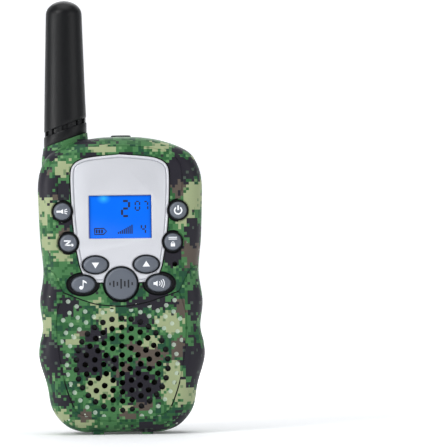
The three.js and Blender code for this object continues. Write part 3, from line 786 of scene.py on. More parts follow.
KEYS = {name: key_place(name) for name in KEY_NAMES}
WELLS = {"talk": 0.75, "call": 1.15, "monitor": 1.15, "down": 0.5, "up": 0.5}  # others take SIDE_WELL
SIDE_WELL = 0.95
ANTENNA_X = (node_box("antenna_coil")[0][0] + node_box("antenna_coil")[1][0]) / 2
window_low, window_high = node_box("display_window")
WINDOW_Z = (window_low[2] + window_high[2]) / 2
WINDOW_HALF = (window_high - window_low)[[0, 2]] / 2
torch_low, torch_high = node_box("torch_bezel")
TORCH_X = (torch_low[0] + torch_high[0]) / 2
TORCH_R = (torch_high[0] - torch_low[0]) / 2
for name, (x, z, radius, wide) in KEYS.items():
    print(f"{name:8s} x {x:6.2f}  z {z:6.2f}  {2 * radius * wide:5.2f} by {2 * radius:5.2f} mm")

# %% [markdown]
# ## Loudspeaker holes
# Ring n has 6 n holes, evenly turned from the top, so the grille grows like a daisy. The first rings are
# open to the loudspeaker. Outside them the same rings go on as shallow dimples up to the edge of the
# speaker panel. Each cutter is a small lathe with a flare at the face, so every hole gets its tiny
# lead-in.

# %% Rings of holes and dimples
SPEAKER_Z = (node_box("speaker_frame")[0][2] + node_box("speaker_frame")[1][2]) / 2
HOLE_R = 0.95


def ring_places(rings):
    """Middles of the holes: 6 n on ring n, at n ring steps from the middle."""
    out = []
    for n in rings:
        angle = np.arange(max(1, 6 * n)) / max(1, 6 * n) * 2 * math.pi
        out.append(np.stack([n * RING_STEP * np.sin(angle), SPEAKER_Z + n * RING_STEP * np.cos(angle)], 1))
    return np.concatenate(out)


PANEL_SIDE = [  # right side of the speaker panel's edge, from its foot up to the keys
    (0, 5.0), (8, 5.2), (15, 7.6), (17.4, 10.5), (20.2, 18.5), (21.8, 27), (22.8, 36), (22.6, 43),
    (20.4, 50.4),
]
KEY_ARC = [  # left to right below the keys
    (-20.4, 50.4), (-14, 47.8), (-9, 46.2), (-3.5, 45.5), (2, 45.4), (9, 46.6), (14.5, 48.4), (20.4, 50.4),
]


def within_panel(places, margin):
    """True for places at least margin inside the panel's sides, its foot and the arc under the keys."""
    x, z = np.abs(places[:, 0]), places[:, 1]
    side = np.asarray(PANEL_SIDE, float)
    reach = np.interp(z, side[:, 1], side[:, 0])
    foot = np.interp(x, side[:4, 0], side[:4, 1])
    roof = np.interp(places[:, 0], *np.asarray(KEY_ARC, float).T)
    return (x < reach - margin) & (z > foot + margin) & (z < roof - margin)


hole_places = ring_places(range(OPEN_RINGS + 1))
dimple_places = ring_places(range(OPEN_RINGS + 1, 10))
dimple_places = dimple_places[within_panel(dimple_places, 1.3)]
hole_cut = [(0, FACE - 0.6), (HOLE_R + 0.7, FACE - 0.6), (HOLE_R + 0.1, FACE + 0.06), (HOLE_R, FACE + 0.2),
            (HOLE_R, INNER_FACE + 0.6), (0, INNER_FACE + 0.6)]
dimple_cut = [(0, FACE - 0.5), (0.98, FACE - 0.5), (0.88, FACE + 0.03), (0.66, FACE + 0.2), (0, FACE + 0.3)]
print("open holes", len(hole_places), "dimples", len(dimple_places))

# %% [markdown]
# ## Moulded lines
# Fine grooves part the front into a speaker panel, a key area and a shoulder panel. A groove is cut by a
# thin wire that follows the surface: its path is drawn in X and Z, and the depth comes from the cushion's
# own law, so the groove keeps its depth where it runs over the rounded edge.

# %% Groove paths
GROOVE_R = 0.3


def groove(points, count=60, radius=GROOVE_R, sink=0.0):
    """Loops of a wire that lies in the front surface along a smooth curve."""
    flat = smooth_curve(points, count)
    path = np.stack([flat[:, 0], face_depth(flat[:, 0], flat[:, 1]) + sink, flat[:, 1]], 1)
    return wire(path, radius)


def flipped(points):
    return [(-x, z) for x, z in points]


SHOULDER_LINE = [
    (-4.6, 101.7), (4, 101.7), (11, 101), (14.8, 100.2), (18, 99), (20, 97.2), (21.4, 94.6), (22, 91),
    (21.8, 85.4),
]
SHOULDER_LEFT = [(-21.6, 91.2), (-22, 88), (-21.8, 84)]
WAIST_LEFT = [(-27.3, 58.7), (-25.4, 58.5), (-23.3, 57), (-22.2, 54.3), (-21.4, 52.6), (-20.4, 50.4)]
WAIST_RIGHT = [(27.3, 59.4), (26.1, 59.3), (24, 57.6), (22.6, 54.8), (21.6, 52.8), (20.4, 50.4)]
grooves = [
    groove(SHOULDER_LINE, radius=0.24), groove(SHOULDER_LEFT, 24, radius=0.24),
    groove(WAIST_LEFT, 40), groove(WAIST_RIGHT, 40), groove(KEY_ARC, 80, radius=0.24),
]
side_lines = [groove(PANEL_SIDE, 90, radius=0.26), groove(flipped(PANEL_SIDE), 90, radius=0.26)]
print("grooves", len(grooves) + len(side_lines))

# %% [markdown]
# ## The case
# The two shells are one cushion, hollowed and cut at the parting plane, so that they meet exactly. The
# antenna's root is a cone that grows out of the left shoulder and ends in a slanted ring. All openings
# are cut with solids: the display plate's pocket, a stepped well for each key, the display opening and
# the loudspeaker's rings.

# %% Body, hollow and antenna root
SLANT = math.radians(19.2)
COLLAR_FOOT = 104.2
COLLAR_TOP = 108.1
SHEATH_FOOT = 109.6
PLUG_R = 4.9


def slanted(radius, height, inset=0.0, sides=64):
    """One loop round the antenna's axis, square to it, or tilted with the slanted planes for a pair."""
    angle = np.arange(sides) / sides * 2 * math.pi
    x, y = (radius - inset) * np.cos(angle), (radius - inset) * np.sin(angle)
    return np.stack([ANTENNA_X + x, y, height + math.tan(SLANT) * x], 1)


def root_loops():
    """The root: radius falls from the shoulder up, in a curve that spreads towards its foot."""
    rise = np.linspace(0, 1, 14)
    height = 90 + rise * (COLLAR_FOOT - 90)
    radius = 7.85 + 1.05 * (1 - rise) + 1.1 * np.exp(-((height - 99.5) / 2.6) ** 2) * 0.25
    return np.stack([slanted(r, h) * (1, 1, 0) + slanted(0, h)[:1] * (0, 0, 1)
                     + (0, 0, 1) * (slanted(r, h) - slanted(0, h)) * rise[i]
                     for i, (r, h) in enumerate(zip(radius, height))])


def whole_case():
    """The cushion with the antenna root joined on, its hollow and bores taken out."""
    case = loft("case_blank", cushion(0))
    carve(case, loft("root", root_loops()), "UNION")
    carve(case, loft("hollow", cushion(WALL, 90, 8)))
    plug = turned([(0, 80), (PLUG_R, 80), (PLUG_R, 120), (0, 120)], (ANTENNA_X, 0, 0), 32, "z")
    torch = turned([(0, 100), (TORCH_R + 0.1, 100), (TORCH_R + 0.1, 110), (0, 110)], (TORCH_X, 0, 0), 40, "z")
    return carve(case, lofts("bores", [plug, torch]))


def slab(x, y, z):
    """Loops of a plain block between pairs of limits, for cutting."""
    corners = [(x[0], z[0]), (x[1], z[0]), (x[1], z[1]), (x[0], z[1])]
    return np.array([[(a, depth, b) for a, b in corners] for depth in y], float)


def pads(sign):
    """Loops of two moulded pads under a shell, with eased feet."""
    near, far = sorted((sign * 5.0, sign * 11.0))
    return [
        block((side * 8.7 - 1.95, near, 0), (side * 8.7 + 1.95, far, 4.2), 0.35, axis=2) for side in (-1, 1)
    ]


def pads_cut(shell, sign):
    blank = lofts("pads", pads(sign))
    carve(blank, loft("hollow", cushion(WALL, 90, 8)))
    return carve(shell, blank, "UNION")


BEZEL_SIDE = [
    (0, 53.8), (8.8, 53.8), (13.4, 56.8), (15.5, 64.6), (16.7, 74), (17.3, 83.8), (17.4, 91.9),
    (16.6, 95), (14.2, 96.9), (9.9, 98), (0, 98.9),
]
BEZEL_FRONT = FACE - 0.5
BEZEL_BACK = FACE + 0.8


def key_cut(name, steps):
    """Loops of a stepped, eased cutter round a key: steps are (room beyond the cap, y)."""
    x, z, radius, wide = KEYS[name]
    profile = [(0, steps[0][1])] + [(radius + room, y) for room, y in steps] + [(0, steps[-1][1])]
    return turned(profile, (x, 0, z), 56, "y", wide)


def front_shell():
    shell = carve(whole_case(), loft("rear_half", slab((-40, 40), (-SEAM, 30), (-5, 130))))
    pads_cut(shell, -1)
    pocket = drawn(mirrored(BEZEL_SIDE, 80), [(-0.6, FACE - 0.6), (-0.32, FACE), (-0.22, FACE + 0.25),
                                             (-0.22, BEZEL_BACK + 0.1)])
    carve(shell, loft("pocket", pocket))
    wells = []
    for name in KEY_NAMES:
        room = WELLS.get(name, SIDE_WELL)
        wells.append(key_cut(name, [(room + 0.9, FACE - 0.6), (room + 0.25, FACE + 0.02), (room, FACE + 0.3),
                                    (room - 0.15, BEZEL_BACK), (room - 0.3, BEZEL_BACK + 0.12)]))
    for well in wells:
        carve(shell, loft("well", well))
    holes = [key_cut(name, [(0.3, FACE - 1), (0.3, INNER_FACE + 0.01), (FLANGE + 0.35, INNER_FACE + 0.01),
                            (FLANGE + 0.35, -8)]) for name in KEY_NAMES]
    for hole in holes:
        carve(shell, loft("key_hole", hole))
    mic_low, mic_high = node_box("microphone")
    mic_at = ((mic_low[0] + mic_high[0]) / 2, 0, (mic_low[2] + mic_high[2]) / 2)
    port = [(0, FACE - 0.5), (1.35, FACE - 0.5), (0.85, FACE + 0.15), (0.85, -10), (0, -10)]
    mic = turned(port, mic_at, 24)
    half = WINDOW_HALF - 1
    opening = slab((-half[0], half[0]), (FACE - 1, INNER_FACE + 1), (WINDOW_Z - half[1], WINDOW_Z + half[1]))
    carve(shell, lofts("openings", [mic, opening]))
    for cutter in grooves + side_lines:
        carve(shell, loft("groove", cutter))
    cutters = [turned(hole_cut, (x, 0, z), 18) for x, z in hole_places]
    cutters += [turned(dimple_cut, (x, 0, z), 14) for x, z in dimple_places]
    carve(shell, lofts("grille", cutters))
    return shell


front = front_shell()
front.name = "front_shell_moulding"
finish_piece(front, "camo", sharp=28)
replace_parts(front, "front_shell")
print("front shell faces", len(front.data.polygons))

# %% [markdown]
# The rear shell starts from the same case. It has the doorway of the battery bay with a ledge for the
# door's screw, and a deep stepped hole over each case screw.

# %% Rear shell
CASE_SCREWS = ["case_screw_1", "case_screw_2", "case_screw_3", "case_screw_4"]
HEAD_R = 1.9
SCREW_R = 1.05
HEAD_SEAT = 6.0
INNER_BACK = HALF_DEPTH - WALL
DOOR_GAP = 0.3
door_low, door_high = node_box("battery_door")
DOOR = {"half": (door_high[0] - door_low[0]) / 2, "low": 10.5, "high": door_high[2], "corner": 2.2}
screw_low, screw_high = node_box("door_screw")
LATCH_Z = (screw_low[2] + screw_high[2]) / 2


def node_middle(node):
    """Middle x and z of a node."""
    low, high = node_box(node)
    return (low[0] + high[0]) / 2, (low[2] + high[2]) / 2


def door_block(grow, y):
    """Loops of the door's outline with round corners, grown all round, between two depths."""
    half = DOOR["half"] + grow
    low, high, corner = DOOR["low"] - grow, DOOR["high"] + grow, DOOR["corner"] + grow
    turn = np.linspace(0, math.pi / 2, 7)
    arcs = []
    for k, (side, z) in enumerate([(1, high), (-1, high), (-1, low), (1, low)]):
        angle = turn + k * math.pi / 2
        up = 1 if z == high else -1
        arcs.append(np.stack([side * (half - corner) + corner * np.cos(angle),
                              z - up * corner + corner * np.sin(angle)], 1))
    ring = np.concatenate(arcs)
    return np.stack([np.stack([ring[:, 0], np.full(len(ring), float(d)), ring[:, 1]], 1) for d in y])


def rear_shell():
    shell = carve(whole_case(), loft("front_half", slab((-40, 40), (-30, SEAM), (-5, 130))))
    pads_cut(shell, 1)
    for node in CASE_SCREWS:
        x, z = node_middle(node)
        boss = [(0, SEAM), (2.8, SEAM), (2.8, INNER_BACK + 0.8), (0, INNER_BACK + 0.8)]
        post = loft("boss", turned(boss, (x, 0, z), 32))
        carve(post, loft("inside", cushion(1.0, 90, 8)), "INTERSECT")
        carve(shell, post, "UNION")
        hole = [(0, -1), (SCREW_R + 0.1, -1), (SCREW_R + 0.1, HEAD_SEAT), (HEAD_R + 0.15, HEAD_SEAT),
                (HEAD_R + 0.15, HALF_DEPTH - 1.6), (HEAD_R + 1.1, HALF_DEPTH + 1), (0, HALF_DEPTH + 1)]
        carve(shell, loft("screw_hole", turned(hole, (x, 0, z), 32)))
    carve(shell, loft("doorway", door_block(DOOR_GAP, (8, 16.5))))
    ledge = slab((-8, 8), (INNER_BACK - 2.2, INNER_BACK - 0.25), (59.7, DOOR["high"] + 3))
    bond = slab((-7.9, 7.9), (INNER_BACK - 2.1, INNER_BACK + 0.5), (DOOR["high"] + 0.8, DOOR["high"] + 2.9))
    carve(shell, loft("ledge", ledge), "UNION")
    carve(shell, loft("bond", bond), "UNION")
    hole = [(0, 8), (SCREW_R + 0.55, 8), (SCREW_R + 0.55, 15), (0, 15)]
    carve(shell, loft("latch_hole", turned(hole, (0, 0, LATCH_Z), 24)))
    return shell


rear = rear_shell()
rear.name = "rear_shell_moulding"
finish_piece(rear, "camo", sharp=28)
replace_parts(rear, "rear_shell")
print("rear shell faces", len(rear.data.polygons))

# %% [markdown]
# ## Battery door
# The door is a patch of the same cushion, so it carries on the curve of the back. It has a recess for its
# captive screw, finger ribs under it, and two tabs at its foot that hook behind the shell's lower edge. Its
# joint turns it about its lower outer edge.

# %% Battery door
def battery_door():
    door = loft("door_blank", cushion(0))
    carve(door, loft("door_area", door_block(0, (INNER_BACK, 16.5))), "INTERSECT")
    recess = [(0, HALF_DEPTH - 1.6), (HEAD_R + 0.15, HALF_DEPTH - 1.6), (HEAD_R + 0.15, HALF_DEPTH - 0.5),
              (HEAD_R + 0.8, HALF_DEPTH + 0.2), (0, HALF_DEPTH + 0.2)]
    shank = [(0, 10), (SCREW_R + 0.1, 10), (SCREW_R + 0.1, 15), (0, 15)]
    carve(door, loft("recess", turned(recess, (0, 0, LATCH_Z), 32)))
    carve(door, loft("shank", turned(shank, (0, 0, LATCH_Z), 24)))
    ribs = []
    for i in range(6):
        height = LATCH_Z - 6.5 - 2.1 * i
        reach = 9.5 - 0.9 * i
        across = np.linspace(-reach, reach, 12)
        path = np.stack([across, np.full(12, HALF_DEPTH + 0.12), np.full(12, height)], 1)
        ribs.append(wire(path, 0.55, 12))
    carve(door, lofts("ribs", ribs))
    for side in (-7, 7):
        low = DOOR["low"]
        tab = slab((side - 2, side + 2), (INNER_BACK - 0.9, INNER_BACK - 0.2), (low - 1.2, low + 2.5))
        foot = slab((side - 1.9, side + 1.9), (INNER_BACK - 0.8, INNER_BACK + 0.5), (low + 1, low + 2.4))
        carve(door, loft("tab", tab), "UNION")
        carve(door, loft("tab_foot", foot), "UNION")
    return door


door = battery_door()
door.name = "battery_door_panel"
finish_piece(door, "camo", body="door", sharp=28)
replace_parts(door, "battery_door")
print("door faces", len(door.data.polygons))

# %% [markdown]
# ## Display plate and window
# The plate is one moulding painted silver: a low rim runs round it, and scallops with soft edges clear
# the keys. It is drawn as loops of its own outline, then each key's clearance and the window are cut with
# flared cutters, so that the cut edges catch the light as the real ones do.

# %% Silver plate
PLATE_FACE = BEZEL_FRONT + 0.2
PLATE_ROOM = {"talk": 0.6, "call": 0.6, "monitor": 0.6, "down": 0.45, "up": 0.45}


def rectangle(steps):
    """Loops of the window's rectangle, grown by a room at each depth: steps are (room, y)."""
    loops = []
    for room, y in steps:
        x, z = WINDOW_HALF + room
        low, high = WINDOW_Z - z, WINDOW_Z + z
        loops.append([(-x, y, low), (x, y, low), (x, y, high), (-x, y, high)])
    return np.array(loops, float)


rim = [
    (0.14, BEZEL_BACK), (0.14, BEZEL_FRONT + 0.5), (0.18, BEZEL_FRONT + 0.2), (0.32, BEZEL_FRONT + 0.04),
    (0.52, BEZEL_FRONT), (0.74, BEZEL_FRONT + 0.04), (0.9, BEZEL_FRONT + 0.2), (1.0, BEZEL_FRONT + 0.8),
    (1.24, BEZEL_FRONT + 0.8), (1.34, BEZEL_FRONT + 0.3), (1.6, PLATE_FACE),
]
plate = loft("display_plate", drawn(mirrored(BEZEL_SIDE, 110), rim))
for name in KEY_NAMES:
    room = PLATE_ROOM.get(name, 0.9)
    carve(plate, loft("clearance", key_cut(name, [
        (room + 0.7, BEZEL_FRONT - 0.5), (room + 0.32, BEZEL_FRONT + 0.16), (room + 0.08, BEZEL_FRONT + 0.42),
        (room, BEZEL_FRONT + 0.6), (room, BEZEL_BACK + 1),
    ])))
carve(plate, loft("window_hole", rectangle([
    (0.65, BEZEL_FRONT - 0.3), (0.32, PLATE_FACE + 0.02), (0.06, PLATE_FACE + 0.22), (0.05, BEZEL_BACK + 1),
])))
finish_piece(plate, "silver", sharp=24)
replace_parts(plate, "display_bezel")
print("plate faces", len(plate.data.polygons))

# %% [markdown]
# The window is a slab with eased edges. Its lit figures are generic: a channel digit, two small digits, a
# battery and a rising row of bars. Each is a thin printed piece, made from outlines; a figure's bars are
# seven strokes.

# %% Window and its figures
window_front = window_low[1] - PART_Y
pane = loft("display_pane", block(
    (-WINDOW_HALF[0], window_front, WINDOW_Z - WINDOW_HALF[1]),
    (WINDOW_HALF[0], window_high[1] - PART_Y, WINDOW_Z + WINDOW_HALF[1]), 0.12,
), "window")
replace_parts(pane, "display_window")


def stroke(points, width):
    """Outline of a pen line through points: the points moved half the width to each side of it."""
    p = np.asarray(points, float)
    along = np.gradient(p, axis=0)
    along /= np.linalg.norm(along, axis=1, keepdims=True)
    across = np.stack([-along[:, 1], along[:, 0]], 1) * width / 2
    return np.concatenate([p + across, (p - across)[::-1]])


def arc(centre, radius, start, end, count=24):
    """Points along a circle between two angles in degrees."""
    angle = np.radians(np.linspace(start, end, count))
    return np.stack([centre[0] + radius * np.cos(angle), centre[1] + radius * np.sin(angle)], 1)


def at_depth(flat, y):
    """Flat points of x and z as one loop at a depth."""
    return np.stack([flat[:, 0], np.full(len(flat), y), flat[:, 1]], 1)


def printed(name, outlines, at, y, material, body="case", thick=0.08):
    """Thin flat pieces from outlines about a middle, facing forwards at a depth."""
    stacks = []
    for outline in outlines:
        flat = np.asarray(outline, float) + at
        stacks.append(np.stack([at_depth(flat, y - thick / 2), at_depth(flat, y + thick / 2)]))
    return lofts(name, stacks, material, body=body)


def bar(x0, x1, z0, z1):
    return [(x0, z0), (x1, z0), (x1, z1), (x0, z1)]


SEGMENTS = {0: "abcdef", 2: "abged", 4: "fgbc", 7: "abc"}  # lit strokes of each digit in use


def digit(value, at, wide, high, pen):
    """Strokes of a seven-bar digit, with small gaps where bars meet."""
    x, z = wide / 2, high / 2
    g = pen * 0.55
    lines = {
        "a": [(-x + g, z), (x - g, z)], "g": [(-x + g, 0), (x - g, 0)], "d": [(-x + g, -z), (x - g, -z)],
        "b": [(x, g), (x, z - g)], "f": [(-x, g), (-x, z - g)],
        "c": [(x, -z + g), (x, -g)], "e": [(-x, -z + g), (-x, -g)],
    }
    return [stroke(lines[s], pen) + at for s in SEGMENTS[value]]


figures = digit(2, (1.9, 2.9), 2.5, 5.3, 0.76)
figures += digit(0, (6.1, 3.8), 1.5, 3.1, 0.45) + digit(7, (9.0, 3.8), 1.4, 3.0, 0.45)
figures += digit(4, (8.1, -4.4), 1.4, 3.3, 0.45)
for i in range(8):
    figures.append(bar(-0.9 + 0.68 * i, -0.46 + 0.68 * i, -6.0, -5.35 + 0.36 * i))
battery = [(-9.1, -4.0), (-9.1, -6.1), (-5.9, -6.1), (-4.9, -5.05), (-5.9, -4.0), (-9.1, -4.0)]
figures.append(stroke(battery, 0.4))
figures += [bar(-8.7 + 0.95 * i, -8.05 + 0.95 * i, -5.7, -4.4) for i in range(3)]
printed("display_figures", figures, (0, WINDOW_Z), window_front - 0.02, "segment")
print("figures", len(figures))

# %% [markdown]
# ## Keys
# A key is a stack of ellipses: a nearly flat crown, a soft shoulder, a straight side that slides in the
# case, a flange that keeps it in and a stem that presses the membrane. Its sign is printed on the crown
# and rides with it. The talk key's sign, a row of sound bars, is engraved, and a dark inlay in its strokes
# is painted shade. Every sign is a plain symbol with no lettering.

# %% Key caps
CROWN = FACE - 1.04


def key_cap(name):
    """Loops of a key from its crown to the end of its stem."""
    x, z, radius, wide = KEYS[name]
    stem = node_box(name + "_button")[1][1] - PART_Y
    side = eased([
        (radius * 0.55, CROWN), (radius - 0.62, CROWN + 0.14), (radius - 0.14, CROWN + 0.48),
        (radius, FACE + 0.1), (radius, INNER_FACE),
    ], 0.7, 5)
    profile = np.concatenate([
        [(0, CROWN), (radius * 0.3, CROWN)], side,
        [(radius, INNER_FACE + 0.1), (radius + FLANGE, INNER_FACE + 0.1), (radius + FLANGE, INNER_FACE + 1),
         (radius * 0.6, INNER_FACE + 1), (radius * 0.6, stem), (0, stem)],
    ])
    return turned(profile, (x, 0, z), 64, "y", wide)


caps = {}
for name in KEY_NAMES:
    caps[name] = loft(name + "_cap", key_cap(name))
BAR_HEIGHTS = (0.5, 1.1, 0.7, 1.7, 1.0, 1.4, 0.5)
bars = [stroke([(1.3 * i, -h), (1.3 * i, h)], 0.58) for i, h in zip(range(-3, 4), BAR_HEIGHTS)]
talk_at = KEYS["talk"][:2]
for outline in bars:
    flat = outline + talk_at
    cutter = np.stack([at_depth(flat, CROWN - 1), at_depth(flat, CROWN + 0.22)])
    carve(caps["talk"], loft("engraving", cutter))
for name, cap in caps.items():
    finish_piece(cap, "button", body=name + "_button", sharp=35)
    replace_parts(cap, name + "_button")
# Painted shade: a thin dark inlay in the bottom of each engraved stroke.
printed("talk_engraving_shade", bars, talk_at, CROWN + 0.16, "mark", "talk_button", 0.06)
print("caps", len(caps))

# %% [markdown]
# A sign is a few flat outlines about the key's middle: bars, pen strokes along arcs, and small polygons.

# %% Signs on the keys
def signs():
    """Outlines of each key's sign about its middle."""
    torch = [
        bar(-2.0, -0.5, -0.36, 0.36), [(-0.45, -0.4), (0.35, -0.8), (0.35, 0.8), (-0.45, 0.4)],
        stroke([(0.8, 0), (1.9, 0)], 0.3), stroke([(0.8, 0.45), (1.75, 0.85)], 0.3),
        stroke([(0.8, -0.45), (1.75, -0.85)], 0.3),
    ]
    power = [stroke(arc((0, -0.1), 1.25, 125, 415, 40), 0.5), bar(-0.27, 0.27, 0.0, 1.65)]
    scan = [
        stroke([(-1.5, 0.75), (0.95, 0.75)], 0.46), stroke([(0.85, 0.7), (-1.15, -0.72)], 0.5),
        stroke([(-1.2, -0.75), (1.2, -0.75)], 0.46), arc((1.35, -0.72), 0.5, 0, 345, 18),
    ]
    menu = [stroke([(-1.5, z), (1.5, z)], 0.3) for z in (1.55, 0.95)]
    menu += [bar(-0.75, 0.75, -1.65, -0.55), stroke(arc((0, -0.5), 0.46, 0, 180, 16), 0.26)]
    note = [
        arc((-0.55, -1.15), 0.62, 0, 345, 22) * (1.15, 1), bar(-0.12, 0.2, -1.1, 1.5),
        [(0.2, 1.6), (0.2, 0.85), (1.25, 0.3), (1.35, 0.75)],
    ]
    monitor = [
        [(-2.0, -0.45), (-1.35, -0.45), (-0.55, -1.0), (-0.55, 1.0), (-1.35, 0.45), (-2.0, 0.45)],
        stroke(arc((-0.7, 0), 1.0, -42, 42, 14), 0.28), stroke(arc((-0.7, 0), 1.75, -40, 40, 16), 0.28),
        stroke(arc((-0.7, 0), 2.5, -38, 38, 18), 0.28),
    ]
    arrow = np.array([(-1.3, -0.8), (1.3, -0.8), (0, 1.2)])
    return {
        "lamp": torch, "power": power, "scan": scan, "menu": menu, "call": note, "monitor": monitor,
        "up": [arrow], "down": [arrow * (1, -1)],
    }


for name, outlines in signs().items():
    printed(name + "_sign", outlines, KEYS[name][:2], CROWN - 0.01, "print", name + "_button", 0.06)
print("signs", len(signs()))

# %% [markdown]
# ## Antenna
# A soft black moulding over a coil. Its foot, the groove above it and the collar under it are all slanted
# by the same angle. The sheath's lowest loop is tilted by that much, and each loop above it a little
# less, until they are level: one skin with no cuts. In the groove twelve ribs bridge the gap; the neck
# is given no body.

# %% Sheath, collar and neck
def tilted(radius, height, tilt=1.0, sides=72):
    """One loop round the antenna's axis at a height on the axis, with a share of the full slant."""
    angle = np.arange(sides) / sides * 2 * math.pi
    x, y = radius * np.cos(angle), radius * np.sin(angle)
    return np.stack([ANTENNA_X + x, y, height + tilt * math.tan(SLANT) * x], 1)


def sheath_radius(height):
    """Straight taper from the foot to the dome's base."""
    return np.interp(height, [SHEATH_FOOT - 3, TOP_Z - 5], [7.6, 6.4])


def sheath():
    foot = [(0.5, 0), (0.16, 0.1), (0, 0.4)]
    loops = [tilted(sheath_radius(SHEATH_FOOT) - inset, SHEATH_FOOT + up) for inset, up in foot]
    for share in np.linspace(0.03, 1, 22):
        height = SHEATH_FOOT + 0.4 + share * (TOP_Z - 5.4 - SHEATH_FOOT)
        loops.append(tilted(sheath_radius(height), height, max(0, 1 - share / 0.35) ** 1.2))
    for angle in np.linspace(0.12, math.pi / 2, 12):
        loops.append(tilted(max(6.4 * math.cos(angle), 0.001), TOP_Z - 5 * (1 - math.sin(angle)), 0))
    return np.stack(loops)


sheath_piece = loft("antenna_sheath_skin", sheath(), "soft", "antenna")
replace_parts(sheath_piece, "antenna_sheath")
collar_steps = [(0.45, 0.02), (0.12, 0.12), (0, 0.4), (0, 3.3), (0.1, 3.7), (0.4, 3.86), (0.9, 3.9)]
collar_loops = np.stack([tilted(7.62 - inset, COLLAR_FOOT + up) for inset, up in collar_steps])
collar = loft("antenna_collar_ring", collar_loops, "soft")
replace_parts(collar, "antenna_collar")


NECK_ENDS = (COLLAR_TOP - 0.2, SHEATH_FOOT + 0.05)


def neck_rib(turn):
    """Loops of one rib: a small block across the groove, with both ends on the slanted planes."""
    corners = np.array([(6.0, -0.85), (7.3, -0.85), (7.3, 0.85), (6.0, 0.85)])
    c, s = math.cos(turn), math.sin(turn)
    flat = corners @ np.array([(c, s), (-s, c)])
    rise = math.tan(SLANT) * flat[:, 0]
    return np.stack([np.stack([ANTENNA_X + flat[:, 0], flat[:, 1], level + rise], 1) for level in NECK_ENDS])


core = np.stack([tilted(6.7, z) for z in np.linspace(*NECK_ENDS, 5)])
ribs = [neck_rib((i + 0.5) * math.pi / 6) for i in range(12)]
neck = lofts("antenna_neck_ribs", [core] + ribs, "soft", None)
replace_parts(neck, "antenna_neck")
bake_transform(neck)
print("antenna from", SHEATH_FOOT, "to", round(TOP_Z, 1))

# %% [markdown]
# ## Torch
# The torch in the top edge is a turned black ring with a domed lens, like a small bezel and its glass.

# %% Torch
ring = eased([
    (TORCH_R - 0.9, 102.6), (TORCH_R - 0.9, torch_high[2] - 0.3), (TORCH_R - 0.55, torch_high[2]),
    (TORCH_R - 0.25, torch_high[2]), (TORCH_R, torch_high[2] - 0.35), (TORCH_R, 101.2),
], 0.25, 4)
ring = np.concatenate([[(0, 102.6)], ring, [(0, 101.2)]])
torch_ring = loft("torch_ring", turned(ring, (TORCH_X, 0, 0), 64, "z"), "black")
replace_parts(torch_ring, "torch_bezel")
dome = np.linspace(0, math.pi / 2, 9)
lens_r = TORCH_R - 1.0
lens = np.stack([lens_r * np.cos(dome), 104.9 + 0.65 * np.sin(dome)], 1)
lens = np.concatenate([[(0, 104.0), (lens_r, 104.0)], lens[:-1], [(0, 105.55)]])
torch_lens = loft("torch_dome", turned(lens, (TORCH_X, 0, 0), 48, "z"), "clear")
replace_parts(torch_lens, "torch_lens")
print("torch at x", round(TORCH_X, 2))

# %% [markdown]
# ## Belt clip
# On the back a sprung clip turns on a pin between two ears. Its lever is a bent strip: the side view is an
# eased outline, carried across its width, with a barrel for the pin and grooves for the thumb.

# %% Belt clip
clip_low, clip_high = node_box("clip_lever")
pin_low, pin_high = node_box("clip_pin")
CLIP_Y = (pin_low[1] + pin_high[1]) / 2 - PART_Y
CLIP_Z = (pin_low[2] + pin_high[2]) / 2
CLIP_HALF = clip_high[0]
OUTER_Y = clip_high[1] - PART_Y
STRIP = 1.4
EAR_IN = CLIP_HALF + 0.35


def side_strip(outline, steps):
    """Loops of an outline in Y and Z, moved in by an inset at each x: steps are (inset, x)."""
    outline = np.asarray(outline, float)
    normal = outwards(outline)
    loops = []
    for inset, x in steps:
        flat = outline - normal * inset
        loops.append(np.stack([np.full(len(flat), float(x)), flat[:, 0], flat[:, 1]], 1))
    return np.stack(loops)


def belt_lever():
    inner = OUTER_Y - STRIP
    foot = clip_low[2]
    corners = [
        (inner, 80), (inner, foot + 7.6), (inner - 3.2, foot + 3.6), (HALF_DEPTH + 0.35, foot + 2.7),
        (HALF_DEPTH + 0.35, foot + 1.4), (inner - 1.4, foot), (OUTER_Y, foot + 6.5), (OUTER_Y, 97.2),
        (inner + 0.5, clip_high[2]), (inner - 0.7, 98.0), (inner, 96.2), (inner, 80),
    ]
    outline = eased(corners, 0.6, 5)[:-1]
    ends = [(0.2, 0), (0.06, 0.06), (0, 0.2)]
    steps = [(i, -CLIP_HALF + x) for i, x in ends] + [(i, CLIP_HALF - x) for i, x in reversed(ends)]
    lever = loft("belt_lever", side_strip(outline, steps))
    right = CLIP_HALF - 4.6
    barrel = [(0, -CLIP_HALF), (2.3, -CLIP_HALF), (2.3, right), (0, right)]
    carve(lever, loft("barrel", turned(barrel, (0, CLIP_Y, CLIP_Z), 40, "x")), "UNION")
    web = slab((-CLIP_HALF + 0.01, right - 0.01), (CLIP_Y, inner + 0.5), (CLIP_Z - 1.8, CLIP_Z + 1.8))
    carve(lever, loft("web", web), "UNION")
    pin = [(0, -20), (1.1, -20), (1.1, 20), (0, 20)]
    carve(lever, loft("pin_hole", turned(pin, (0, CLIP_Y, CLIP_Z), 32, "x")))
    grips = []
    for i in range(5):
        path = np.stack([np.linspace(-4.6, 4.6, 8), np.full(8, OUTER_Y + 0.1), np.full(8, 95.6 - 1.3 * i)], 1)
        grips.append(wire(path, 0.42, 10))
    return carve(lever, lofts("grips", grips))


lever = belt_lever()
finish_piece(lever, "black", body="clip", sharp=35)
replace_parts(lever, "clip_lever")


